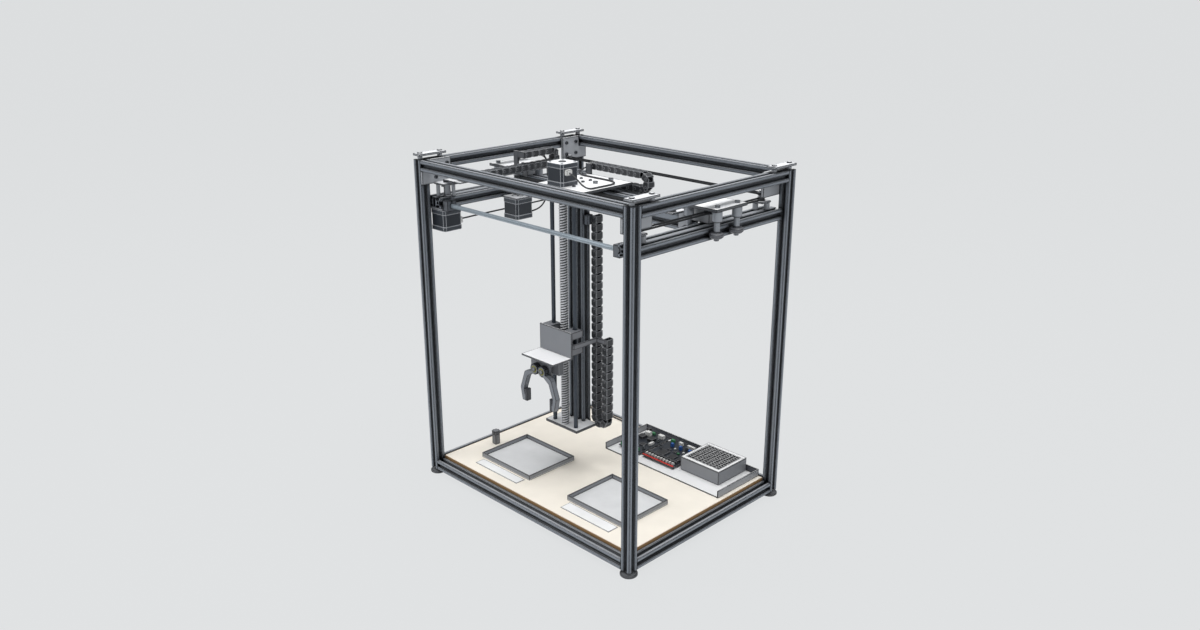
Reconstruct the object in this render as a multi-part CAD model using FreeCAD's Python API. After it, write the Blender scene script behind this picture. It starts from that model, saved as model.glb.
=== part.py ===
import FreeCAD, Part
import math
import os

V = FreeCAD.Vector

# Frame: slotted aluminium profile on levelling feet, origin on the floor under the middle
PROFILE = 20.0
FRAME_LENGTH = 550.0
FRAME_DEPTH = 415.0
POST_LENGTH = 625.0
FOOT_HEIGHT = 9.0
FOOT_RADIUS = 15.3
FOOT_DISC = 5.0
FOOT_NECK_RADIUS = 6.0
FOOT_STUD_LENGTH = 18.0

# Vee slot of the profile: widths at the surface, at the neck and in the cavity
SLOT_MOUTH = 9.16
SLOT_NECK = 6.2
SLOT_LIP = 1.8
SLOT_CAVITY = 11.0
SLOT_SIDE = 1.4
SLOT_BOTTOM = 5.8
SLOT_DEPTH = 5.8
BORE_RADIUS = 2.5
PROFILE_CHAMFER = 1.0
VOID_WIDTH = 6.0

# Side rails and bridge beam: the wider 20 x 40 profile
RAIL_WIDTH = 40.0
RAIL_INSET = 10.0
RAIL_DROP = 68.5
BEAM_Y = 18.0
BEAM_GAP_ABOVE_RAIL = 18.5
BLOCK_THICK = 39.5

# Board, trays and electronics
BOARD_THICK = 8.0
BOARD_ABOVE_BEAM = 5.4
BOARD_FIT = 0.2
BOARD_BRACKET = 16.0
BRACKET_THICK = 2.0
TRAY_LENGTH = 142.0
TRAY_DEPTH = 119.0
TRAY_HEIGHT = 10.0
TRAY_WALL = 2.0
TRAY_FROM_SIDE = 131.0
TRAY_FROM_FRONT = 108.0
ELEC_FROM_SIDE = 9.0
ELEC_FROM_REAR = 0.5
ELEC_LENGTH = 292.0
ELEC_DEPTH = 125.0
ELEC_HEIGHT = 14.5
ELEC_WALL = 2.0
PSU_FROM_TRAY_END = 122.0
PSU_LENGTH = 94.0
PSU_FROM_TRAY_REAR = 89.0
PSU_DEPTH = 86.0
PSU_HEIGHT = 28.0
PSU_LID = 1.5
BOARD_STANDOFF = 4.0
PCB_THICK = 1.6
PCB_DEPTH = 92.0
PCB_FROM_TRAY_FRONT = 22.0
DRIVER_LENGTH = 58.0
DRIVER_FROM_TRAY_END = 16.0
MAIN_LENGTH = 82.0
MAIN_FROM_PSU = 8.0
CAP_BLOCK_FROM_SIDE = 32.0
CAP_BLOCK_FROM_FRONT = 107.5
CAP_BLOCK_SIDE = 11.0
CAP_BLOCK_HEIGHT = 22.0
CAP_RADIUS = 8.0
CAP_HEIGHT = 7.0
PETALS = 8

# Corner plates
GUSSET_THICK = 5.6
GUSSET_REACH = 45.0
GUSSET_BELOW_BEAM = 24.5
TOP_PLATE_LENGTH = 60.0
TOP_PLATE_WIDTH = 20.0
TOP_PLATE_THICK = 4.0
TOP_PLATE_LIFT = 7.0
TOP_BOLT_SPACING = 44.0

# Carriages, wheels and axles
PLATE_THICK = 5.0
CARRIAGE_WIDTH = 80.0
CARRIAGE_LENGTH = 80.0
CARRIAGE_ABOVE_RAIL = 30.5
WHEEL_RADIUS = 12.0
WHEEL_SINK = 2.1
WHEEL_WIDTH = 10.0
WHEEL_BORE = 2.58
WHEEL_GAP = 0.3
ROLLING_RADIUS = 10.9
AXLE_RADIUS = 2.5
AXLE_SPACING = 52.0
COLLAR_RADIUS = 8.5
COLLAR_HEIGHT = 18.0
SPACER_RADIUS = 5.0
STANDOFF_RADIUS = 3.5
NUT_RADIUS = 4.6
NUT_HEIGHT = 4.0
HEAD_RADIUS = 4.5
HEAD_HEIGHT = 4.0

# Stepper motors
MOTOR_SIDE = 42.3
MOTOR_HEIGHT = 39.0
MOTOR_CAP = 8.0
MOTOR_CHAMFER = 4.0
MOTOR_BOSS_RADIUS = 11.0
MOTOR_BOSS_HEIGHT = 2.0
MOTOR_SHAFT_RADIUS = 2.5

# Toothed belts, 2 mm pitch, on 16 tooth pulleys
BELT_PITCH = 2.0
PULLEY_TEETH = 16
BELT_WIDTH = 3.0
BELT_THICK = 1.4
FLANGE_RADIUS = 7.0
FLANGE_THICK = 1.0
PULLEY_FROM_RAIL = 3.0
FRONT_PULLEY_INSET = 24.0
REAR_PULLEY_INSET = 32.5
SIDE_BELT_ABOVE_RAIL = 19.5
BELT_STACK = 9.0
IDLER_PLATE = 24.0

# Y drive chain, X drive and X chain
X_MOTOR_FROM_RAIL = 42.0
X_MOTOR_Y = -21.0
X_IDLER_FROM_RAIL = 55.0
X_BELT_ABOVE_BEAM = 2.0
X_BRACKET_THICK = 3.0
CHAIN_WIDTH = 18.0
CHAIN_HEIGHT = 12.0
CHAIN_LINK = 16.0
CHAIN_PLAY = 1.2
Y_CHAIN_FROM_RAIL = 50.0
Y_CHAIN_BEFORE_MOTOR = 0.5
Y_CHAIN_END = -14.0
Y_CHAIN_BEND = 56.0
Y_CHAIN_ABOVE_PLATE = 2.5
Y_CHAIN_RADIUS = 12.0
X_CHAIN_Y = 67.0
X_CHAIN_FIXED = -106.0
X_CHAIN_END = -84.0
X_CHAIN_BEND = 44.0
X_CHAIN_ABOVE_BEAM = 1.5
X_CHAIN_RADIUS = 13.0
TROUGH_THICK = 2.0

# Tie rod across the front
TIE_ROD_RADIUS = 4.0
TIE_ROD_INSET = 14.5
TIE_ROD_BELOW_RAIL = 14.0
TIE_BLOCK = 20.0
TIE_BLOCK_THICK = 14.0

# X carriage and Z column
COLUMN_X = -45.0
X_PLATE_LEFT = -88.0
X_PLATE_RIGHT = 31.0
X_PLATE_FRONT = -72.0
X_PLATE_REAR = 52.0
X_PLATE_ABOVE_BEAM = 9.0
X_AXLE_SPACING = 70.0
SCREW_Y = -50.0
SCREW_RADIUS = 8.0
SCREW_LEAD = 10.0
SCREW_THREAD_DEPTH = 1.2
JOURNAL_RADIUS = 4.0
FIT = 0.05
RUNNING_GAP = 0.3
ROD_RADIUS = 4.0
ROD_SPACING = 58.0
COLUMN_FRONT = -21.0
COLUMN_BELOW_PLATE = 13.0
FOOT_PLATE_TOP = 129.0
FOOT_PLATE_WIDTH = 86.0
FOOT_PLATE_FRONT = -61.5
FOOT_PLATE_REAR = -8.0
Z_MOTOR_HEIGHT = 41.0
Z_CHAIN_FIXED_X = -10.0
Z_CHAIN_Y = 2.0
Z_CHAIN_BELOW_BEAM = 4.0
CHAIN_ARM_HOLE = 4.5
Z_CHAIN_END = 307.0
Z_CHAIN_BEND = 141.0
Z_CHAIN_RADIUS = 14.0

# Z carriage and gripper
GRIP_WIDTH = 86.0
BACK_PLATE_Y = -73.0
BACK_PLATE_THICK = 3.0
BACK_PLATE_HEIGHT = 49.0
GRIP_PLATE_Z = 278.0
GRIP_PLATE_FRONT = -120.0
BEARING_LENGTH = 14.0
BEARING_DEPTH = 28.0
BEARING_WIDTH = 24.0
CHAIN_ARM_HEIGHT = 9.0
CHAIN_ARM_Z = 298.0
GEAR_MODULE = 1.0
GEAR_TEETH = 20
GEAR_BACKLASH = 0.45
GEAR_SPACING = 20.4
PIVOT_Z = 258.3
FINGER_FRONT = -119.0
FINGER_THICK = 10.0
FLANGE_Y = -108.0
FLANGE_PLATE = 4.0
PIVOT_RADIUS = 2.5
PAD_THICK = 4.0
SERVO_LENGTH = 38.0
SERVO_DEPTH = 12.2
SERVO_HEIGHT = 23.0

# Cables
CABLE_RADIUS = 1.5

# Derived places
HALF_X = FRAME_LENGTH / 2
HALF_Y = FRAME_DEPTH / 2
INNER_X = HALF_X - PROFILE
INNER_Y = HALF_Y - PROFILE
POST_X = HALF_X - PROFILE / 2
POST_Y = HALF_Y - PROFILE / 2
FRAME_TOP = FOOT_HEIGHT + POST_LENGTH
RAIL_TOP = FRAME_TOP - RAIL_DROP
RAIL_X = HALF_X - RAIL_INSET - RAIL_WIDTH / 2
RAIL_Z = RAIL_TOP - PROFILE / 2
BOARD_TOP = FOOT_HEIGHT + PROFILE + BOARD_ABOVE_BEAM
PLATE_BOTTOM = RAIL_TOP + CARRIAGE_ABOVE_RAIL
PLATE_TOP = PLATE_BOTTOM + PLATE_THICK
AXLE_OFFSET = RAIL_WIDTH / 2 + WHEEL_RADIUS - WHEEL_SINK
BEAM_TOP = RAIL_TOP + BEAM_GAP_ABOVE_RAIL
BEAM_BOTTOM = BEAM_TOP - RAIL_WIDTH
BLOCK_INNER = RAIL_X + 0.5 - BLOCK_THICK
X_PLATE_BOTTOM = BEAM_TOP + X_PLATE_ABOVE_BEAM
X_PLATE_TOP = X_PLATE_BOTTOM + PLATE_THICK
X_WHEEL_Z = BEAM_TOP - PROFILE / 2
X_AXLE_OFFSET = PROFILE / 2 + WHEEL_RADIUS - WHEEL_SINK
TRAY_X = INNER_X - TRAY_FROM_SIDE
TRAY_Y = -INNER_Y + TRAY_FROM_FRONT
ELEC_X1 = INNER_X - ELEC_FROM_SIDE
ELEC_X0 = ELEC_X1 - ELEC_LENGTH
ELEC_Y1 = INNER_Y - ELEC_FROM_REAR
ELEC_Y0 = ELEC_Y1 - ELEC_DEPTH
PSU_X0 = ELEC_X1 - PSU_FROM_TRAY_END
PSU_Y0 = ELEC_Y1 - PSU_FROM_TRAY_REAR
PCB_Y0 = ELEC_Y0 + PCB_FROM_TRAY_FRONT
DRIVER_X0 = ELEC_X0 + DRIVER_FROM_TRAY_END
MAIN_X0 = PSU_X0 - MAIN_FROM_PSU - MAIN_LENGTH
CAP_BLOCK_X = -INNER_X + CAP_BLOCK_FROM_SIDE
CAP_BLOCK_Y = -INNER_Y + CAP_BLOCK_FROM_FRONT
PULLEY_X = RAIL_X - PULLEY_FROM_RAIL
FRONT_PULLEY_Y = -INNER_Y + FRONT_PULLEY_INSET
REAR_PULLEY_Y = INNER_Y - REAR_PULLEY_INSET
X_MOTOR_X = -RAIL_X + X_MOTOR_FROM_RAIL
X_IDLER_X = RAIL_X - X_IDLER_FROM_RAIL
X_BELT_Z = BEAM_TOP + X_BELT_ABOVE_BEAM
Y_CHAIN_X = -RAIL_X + Y_CHAIN_FROM_RAIL
Y_CHAIN_FRONT = FRONT_PULLEY_Y - Y_CHAIN_BEFORE_MOTOR
Y_CHAIN_Z = PLATE_TOP + Y_CHAIN_ABOVE_PLATE
X_CHAIN_Z = BEAM_TOP + X_CHAIN_ABOVE_BEAM
TIE_ROD_Y = -INNER_Y + TIE_ROD_INSET
TIE_ROD_Z = RAIL_TOP - TIE_ROD_BELOW_RAIL
COLUMN_TOP = X_PLATE_BOTTOM - COLUMN_BELOW_PLATE
Z_CHAIN_TOP = BEAM_BOTTOM - Z_CHAIN_BELOW_BEAM
BELT_RADIUS = BELT_PITCH * PULLEY_TEETH / (2 * math.pi)
SIDE_BELT_Z = RAIL_TOP + SIDE_BELT_ABOVE_RAIL
REAR_BELT_Z = SIDE_BELT_Z + BELT_STACK
GEAR_RADIUS = GEAR_MODULE * GEAR_TEETH / 2


def box(x0, x1, y0, y1, z0, z1):
    """A block between two corners."""
    return Part.makeBox(x1 - x0, y1 - y0, z1 - z0, V(x0, y0, z0))


def rod(radius, start, end):
    """A round bar from one point to another."""
    axis = V(*end) - V(*start)
    return Part.makeCylinder(radius, axis.Length, V(*start), axis)


def hexagon(radius, height, centre):
    """A hexagonal prism standing on its centre point."""
    points = [V(centre[0] + radius * math.cos(math.radians(60 * i)),
                centre[1] + radius * math.sin(math.radians(60 * i)), centre[2]) for i in range(7)]
    return Part.Face(Part.makePolygon(points)).extrude(V(0, 0, height))


def group(shapes):
    """Separate solids kept side by side in one node."""
    return Part.makeCompound([solid for shape in shapes for solid in shape.Solids])


def mirrored_x(shape):
    return shape.mirror(V(0, 0, 0), V(1, 0, 0))


def mirrored_y(shape):
    return shape.mirror(V(0, 0, 0), V(0, 1, 0))


def at_four_corners(shape):
    """The shape and its mirror images about both middle planes."""
    pair = [shape, mirrored_x(shape)]
    return group(pair + [mirrored_y(each) for each in pair])


def save(name, shape):
    shape.exportStep("parts/" + name + ".step")


# Profiles

def slot_outline(centre, edge):
    """One slot seen along a side of the section: place along the side, depth below it."""
    half = [(SLOT_MOUTH / 2, 0.0), (SLOT_NECK / 2, (SLOT_MOUTH - SLOT_NECK) / 2),
            (SLOT_NECK / 2, SLOT_LIP), (SLOT_CAVITY / 2, SLOT_LIP),
            (SLOT_CAVITY / 2, SLOT_LIP + SLOT_SIDE), (SLOT_BOTTOM / 2, SLOT_DEPTH)]
    left = [(centre - w, -edge + d) for w, d in half]
    right = [(centre + w, -edge + d) for w, d in reversed(half)]
    return left + right


def section(columns, rows):
    """The face of a slotted profile, columns x rows cells of 20 mm, centred on the origin."""
    wide = columns * PROFILE / 2
    tall = rows * PROFILE / 2
    outline = []
    for turn, (half, edge, cells) in enumerate([(wide, tall, columns), (tall, wide, rows),
                                                (wide, tall, columns), (tall, wide, rows)]):
        side = [(-half + PROFILE_CHAMFER, -edge)]
        for cell in range(cells):
            side += slot_outline(-half + PROFILE / 2 + cell * PROFILE, edge)
        side.append((half - PROFILE_CHAMFER, -edge))
        angle = math.radians(90 * turn)
        outline += [V(x * math.cos(angle) - y * math.sin(angle),
                      x * math.sin(angle) + y * math.cos(angle), 0) for x, y in side]
    wires = [Part.makePolygon(outline + [outline[0]])]
    for column in range(columns):
        for row in range(rows):
            centre = V(-wide + PROFILE / 2 + column * PROFILE, -tall + PROFILE / 2 + row * PROFILE, 0)
            wires.append(Part.Wire(Part.makeCircle(BORE_RADIUS, centre)))
    if columns * rows > 1:
        half_void = PROFILE / 2 - SLOT_LIP
        across = VOID_WIDTH / 2
        void = (across, half_void) if columns > 1 else (half_void, across)
        corners = [V(-void[0], -void[1], 0), V(void[0], -void[1], 0),
                   V(void[0], void[1], 0), V(-void[0], void[1], 0)]
        wires.append(Part.makePolygon(corners + [corners[0]]))
    return Part.Face(wires, "Part::FaceMakerBullseye")


def profile(columns, rows, length, axis, start):
    """A length of profile along an axis. Along X the section's columns lie along Y; along Y, along X."""
    bar = section(columns, rows).extrude(V(0, 0, length))
    if axis == "x":
        bar.rotate(V(0, 0, 0), V(1, 0, 0), -90)
        bar.rotate(V(0, 0, 0), V(0, 0, 1), -90)
    if axis == "y":
        bar.rotate(V(0, 0, 0), V(1, 0, 0), -90)
    bar.translate(V(*start))
    return bar


def frame_profiles():
    post = profile(1, 1, POST_LENGTH, "z", (POST_X, POST_Y, FOOT_HEIGHT))
    save("corner_posts", at_four_corners(post))
    for name, level in (("top_beams", FRAME_TOP - PROFILE / 2), ("bottom_beams", FOOT_HEIGHT + PROFILE / 2)):
        along_x = profile(1, 1, 2 * INNER_X, "x", (-INNER_X, POST_Y, level))
        along_y = profile(1, 1, 2 * INNER_Y, "y", (POST_X, -INNER_Y, level))
        beams = [along_x, mirrored_y(along_x), along_y, mirrored_x(along_y)]
        if name == "bottom_beams":
            beams += board_brackets()
        save(name, group(beams))
    right = profile(2, 1, 2 * INNER_Y, "y", (RAIL_X, -INNER_Y, RAIL_Z))
    left = mirrored_x(right)
    shaft_hole = rod(COLLAR_RADIUS / 2, (-PULLEY_X, FRONT_PULLEY_Y, RAIL_TOP - 2 * PROFILE),
                     (-PULLEY_X, FRONT_PULLEY_Y, RAIL_TOP + PROFILE))
    save("side_rails", group([left.cut(shaft_hole), right]))


def board_brackets():
    """Small angles in the beams' inner slots, two a side, that the board lies on."""
    under = BOARD_TOP - BOARD_THICK
    foot = under - BOARD_BRACKET
    angles = []
    for x in (-INNER_X / 2, INNER_X / 2):
        wall = box(x - BOARD_BRACKET / 2, x + BOARD_BRACKET / 2, INNER_Y - BRACKET_THICK, INNER_Y, foot, under)
        shelf = box(x - BOARD_BRACKET / 2, x + BOARD_BRACKET / 2,
                    INNER_Y - BOARD_BRACKET, INNER_Y, under - BRACKET_THICK, under)
        angles.append(wall.fuse(shelf).removeSplitter())
    along_y = []
    for y in (-INNER_Y / 2, INNER_Y / 2):
        wall = box(INNER_X - BRACKET_THICK, INNER_X, y - BOARD_BRACKET / 2, y + BOARD_BRACKET / 2, foot, under)
        shelf = box(INNER_X - BOARD_BRACKET, INNER_X, y - BOARD_BRACKET / 2,
                    y + BOARD_BRACKET / 2, under - BRACKET_THICK, under)
        along_y.append(wall.fuse(shelf).removeSplitter())
    return angles + [mirrored_y(a) for a in angles] + along_y + [mirrored_x(a) for a in along_y]


def feet():
    """Levelling feet: a bevelled disc, a neck and a stud up the post's centre bore."""
    rim = 1.2
    outline = [V(0, 0, 0), V(FOOT_RADIUS - rim, 0, 0), V(FOOT_RADIUS, 0, rim),
               V(FOOT_RADIUS, 0, FOOT_DISC - rim), V(FOOT_RADIUS - rim, 0, FOOT_DISC),
               V(FOOT_NECK_RADIUS, 0, FOOT_DISC), V(FOOT_NECK_RADIUS, 0, FOOT_HEIGHT),
               V(BORE_RADIUS - FIT, 0, FOOT_HEIGHT), V(BORE_RADIUS - FIT, 0, FOOT_HEIGHT + FOOT_STUD_LENGTH),
               V(0, 0, FOOT_HEIGHT + FOOT_STUD_LENGTH), V(0, 0, 0)]
    foot = Part.Face(Part.makePolygon(outline)).revolve(V(0, 0, 0), V(0, 0, 1), 360)
    foot.translate(V(POST_X, POST_Y, 0))
    save("levelling_feet", at_four_corners(foot))


def corner_plates():
    """Gussets inside the Y beams and posts, and the raised plates bolted on top of the beams."""
    inner_end = INNER_Y - GUSSET_REACH
    x0 = INNER_X - GUSSET_THICK
    beam_bottom = FRAME_TOP - PROFILE
    upper = box(x0, INNER_X, inner_end, INNER_Y, beam_bottom, FRAME_TOP)
    lower = box(x0, INNER_X, inner_end, HALF_Y, FRAME_TOP - PROFILE - GUSSET_BELOW_BEAM, beam_bottom)
    gusset = upper.fuse(lower).removeSplitter()
    base = FRAME_TOP + TOP_PLATE_LIFT
    middle = HALF_Y - TOP_PLATE_LENGTH / 2
    plate = box(HALF_X - TOP_PLATE_WIDTH, HALF_X, middle - TOP_PLATE_LENGTH / 2,
                middle + TOP_PLATE_LENGTH / 2, base, base + TOP_PLATE_THICK)
    for y in (middle - TOP_BOLT_SPACING / 2, middle + TOP_BOLT_SPACING / 2):
        plate = plate.fuse(rod(HEAD_RADIUS, (POST_X, y, FRAME_TOP), (POST_X, y, base)))
        plate = plate.fuse(hexagon(NUT_RADIUS, HEAD_HEIGHT / 2, (POST_X, y, base + TOP_PLATE_THICK)))
    save("corner_plates", group([at_four_corners(gusset), at_four_corners(plate.removeSplitter())]))


# Board and what stands on it

def open_tray(x0, x1, y0, y1, height, wall, open_front=False):
    tray = box(x0, x1, y0, y1, BOARD_TOP, BOARD_TOP + height)
    front = y0 - wall if open_front else y0 + wall
    return tray.cut(box(x0 + wall, x1 - wall, front, y1 - wall, BOARD_TOP + wall, BOARD_TOP + height + wall))


def board_and_trays():
    edge_x = INNER_X - BOARD_FIT
    edge_y = INNER_Y - BOARD_FIT
    save("base_board", box(-edge_x, edge_x, -edge_y, edge_y, BOARD_TOP - BOARD_THICK, BOARD_TOP))
    right = open_tray(TRAY_X - TRAY_LENGTH / 2, TRAY_X + TRAY_LENGTH / 2, TRAY_Y - TRAY_DEPTH / 2,
                      TRAY_Y + TRAY_DEPTH / 2, TRAY_HEIGHT, TRAY_WALL)
    save("workpiece_trays", group([right, mirrored_x(right)]))
    save("electronics_tray", open_tray(ELEC_X0, ELEC_X1, ELEC_Y0, ELEC_Y1, ELEC_HEIGHT, ELEC_WALL, True))


def power_supply():
    """A folded case with a slotted lid."""
    z0 = BOARD_TOP + ELEC_WALL
    z1 = z0 + PSU_HEIGHT
    x1 = PSU_X0 + PSU_LENGTH
    y1 = PSU_Y0 + PSU_DEPTH
    case = box(PSU_X0, x1, PSU_Y0, y1, z0, z1)
    slots, rows, pitch = 2, 12, 6.0
    length = PSU_LENGTH * 0.33
    for column in range(slots):
        for row in range(rows):
            x = PSU_X0 + PSU_LENGTH * (0.13 + 0.41 * column)
            y = PSU_Y0 + PSU_DEPTH / 2 + (row - (rows - 1) / 2) * pitch
            case = case.cut(box(x, x + length, y - pitch / 4, y + pitch / 4, z1 - PSU_LID, z1 + PSU_LID))
    save("power_supply", case)


def control_boards():
    """Two circuit boards on stand-offs, each one solid with its blocks."""
    floor = BOARD_TOP + ELEC_WALL
    under = floor + BOARD_STANDOFF
    top = under + PCB_THICK
    y0, y1 = PCB_Y0, PCB_Y0 + PCB_DEPTH
    boards = []
    for x0, x1 in ((DRIVER_X0, DRIVER_X0 + DRIVER_LENGTH), (MAIN_X0, MAIN_X0 + MAIN_LENGTH)):
        board = box(x0, x1, y0, y1, under, top)
        for x in (x0 + 5, x1 - 5):
            for y in (y0 + 5, y1 - 5):
                board = board.fuse(rod(2.6, (x, y, floor), (x, y, under)))
        boards.append(board)
    driver, main = boards
    for x in (DRIVER_X0 + 8, DRIVER_X0 + 30):
        driver = driver.fuse(box(x, x + 17, y0 + 4, y0 + 16, top, top + 9))
        driver = driver.fuse(box(x, x + 17, y0 + 56, y0 + 82, top, top + 7))
    for step in range(5):
        x = MAIN_X0 + 4 + 15.5 * step
        main = main.fuse(box(x, x + 12, y0 + 4, y0 + 14, top, top + 9))
    for x in (MAIN_X0 + 16, MAIN_X0 + 42, MAIN_X0 + 66):
        main = main.fuse(box(x, x + 8, y0 + 66, y0 + 76, top, top + 6))
    main = main.fuse(box(MAIN_X0 + 14, MAIN_X0 + 66, y0 + 26, y0 + 54, top, top + 4))
    save("control_boards", group([driver.removeSplitter(), main.removeSplitter()]))


def capped_block():
    """A small upright block with a petalled cap."""
    half = CAP_BLOCK_SIDE / 2
    top = BOARD_TOP + CAP_BLOCK_HEIGHT
    block = box(CAP_BLOCK_X - half, CAP_BLOCK_X + half, CAP_BLOCK_Y - half, CAP_BLOCK_Y + half, BOARD_TOP, top)
    cap = rod(CAP_RADIUS * 0.8, (CAP_BLOCK_X, CAP_BLOCK_Y, top), (CAP_BLOCK_X, CAP_BLOCK_Y, top + CAP_HEIGHT))
    for petal in range(PETALS):
        angle = 2 * math.pi * petal / PETALS
        x = CAP_BLOCK_X + CAP_RADIUS * 0.75 * math.cos(angle)
        y = CAP_BLOCK_Y + CAP_RADIUS * 0.75 * math.sin(angle)
        cap = cap.fuse(rod(CAP_RADIUS * 0.27, (x, y, top), (x, y, top + CAP_HEIGHT)))
    save("capped_block", block.fuse(cap).removeSplitter())


# Motors, pulleys and belts

def motor(x, y, bottom, height, up):
    """A square stepper motor: two end caps, a recessed stack between them and a boss on its face."""
    half = MOTOR_SIDE / 2
    cut = MOTOR_CHAMFER

    def prism(side, z0, z1):
        points = [(side, cut - side), (side, side - cut), (side - cut, side), (cut - side, side),
                  (-side, side - cut), (-side, cut - side), (cut - side, -side), (side - cut, -side)]
        corners = [V(x + px, y + py, z0) for px, py in points]
        return Part.Face(Part.makePolygon(corners + [corners[0]])).extrude(V(0, 0, z1 - z0))

    body = prism(half, bottom, bottom + MOTOR_CAP)
    body = body.fuse(prism(half - 0.6, bottom + MOTOR_CAP, bottom + height - MOTOR_CAP))
    body = body.fuse(prism(half, bottom + height - MOTOR_CAP, bottom + height))
    if up:
        face = bottom + height
        body = body.fuse(rod(MOTOR_BOSS_RADIUS, (x, y, face), (x, y, face + MOTOR_BOSS_HEIGHT)))
        bore_end = face - MOTOR_CAP
        body = body.cut(rod(MOTOR_SHAFT_RADIUS + FIT, (x, y, bore_end), (x, y, face + MOTOR_BOSS_HEIGHT)))
    else:
        body = body.cut(rod(JOURNAL_RADIUS + FIT, (x, y, bottom), (x, y, bottom + MOTOR_CAP)))
    return body.removeSplitter()


def pulley(x, y, centre_z, belts, bore):
    """A flanged belt wheel, one groove for each belt height, with a bore or solid."""
    levels = [centre_z + BELT_STACK * n for n in range(belts)]
    half = BELT_WIDTH / 2 + RUNNING_GAP
    body = None
    for level in levels:
        piece = rod(BELT_RADIUS - BELT_THICK / 2 - RUNNING_GAP, (x, y, level - half), (x, y, level + half))
        for z in (level - half - FLANGE_THICK, level + half):
            piece = piece.fuse(rod(FLANGE_RADIUS, (x, y, z), (x, y, z + FLANGE_THICK)))
        body = piece if body is None else body.fuse(piece)
    if belts > 1:
        gap_start = levels[0] + half + FLANGE_THICK
        body = body.fuse(rod(BELT_RADIUS, (x, y, gap_start), (x, y, levels[1] - half - FLANGE_THICK)))
    if bore:
        body = body.cut(rod(bore, (x, y, levels[0] - BELT_STACK), (x, y, levels[-1] + BELT_STACK)))
    return body.removeSplitter()


def belt_loop(first, second, z):
    """A flat closed belt round two wheels of the same size."""
    a = V(first[0], first[1], z - BELT_WIDTH / 2)
    b = V(second[0], second[1], z - BELT_WIDTH / 2)
    along = (b - a).normalize()
    side = V(-along.y, along.x, 0)

    def wire(radius):
        edges = [Part.LineSegment(a - side * radius, b - side * radius).toShape(),
                 Part.Arc(b - side * radius, b + along * radius, b + side * radius).toShape(),
                 Part.LineSegment(b + side * radius, a + side * radius).toShape(),
                 Part.Arc(a + side * radius, a - along * radius, a - side * radius).toShape()]
        return Part.Wire(edges)

    outer = wire(BELT_RADIUS + BELT_THICK / 2)
    inner = wire(BELT_RADIUS - BELT_THICK / 2)
    return Part.Face([outer, inner], "Part::FaceMakerBullseye").extrude(V(0, 0, BELT_WIDTH))


def idler_bracket(x, y, levels):
    """A plate on two stand-offs from the rail, with a pin for the wheels above it."""
    half = IDLER_PLATE / 2
    lowest = SIDE_BELT_Z - BELT_WIDTH / 2 - 2 * RUNNING_GAP - FLANGE_THICK
    top = lowest - RUNNING_GAP
    pin_top = SIDE_BELT_Z + BELT_STACK * (levels - 1) + BELT_WIDTH / 2 + FLANGE_THICK + 2 * RUNNING_GAP
    pieces = [box(x - half, x + half, y - half, y + half, top - X_BRACKET_THICK, top)]
    for offset in (-half + SPACER_RADIUS, half - SPACER_RADIUS):
        foot = (x + offset, y + offset, RAIL_TOP)
        pieces.append(rod(SPACER_RADIUS, foot, (foot[0], foot[1], top - X_BRACKET_THICK)))
    pin = rod(AXLE_RADIUS, (x, y, top), (x, y, pin_top))
    head = rod(HEAD_RADIUS, (x, y, pin_top), (x, y, pin_top + HEAD_HEIGHT / 2))
    return group(pieces + [pin.fuse(head)])


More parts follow.
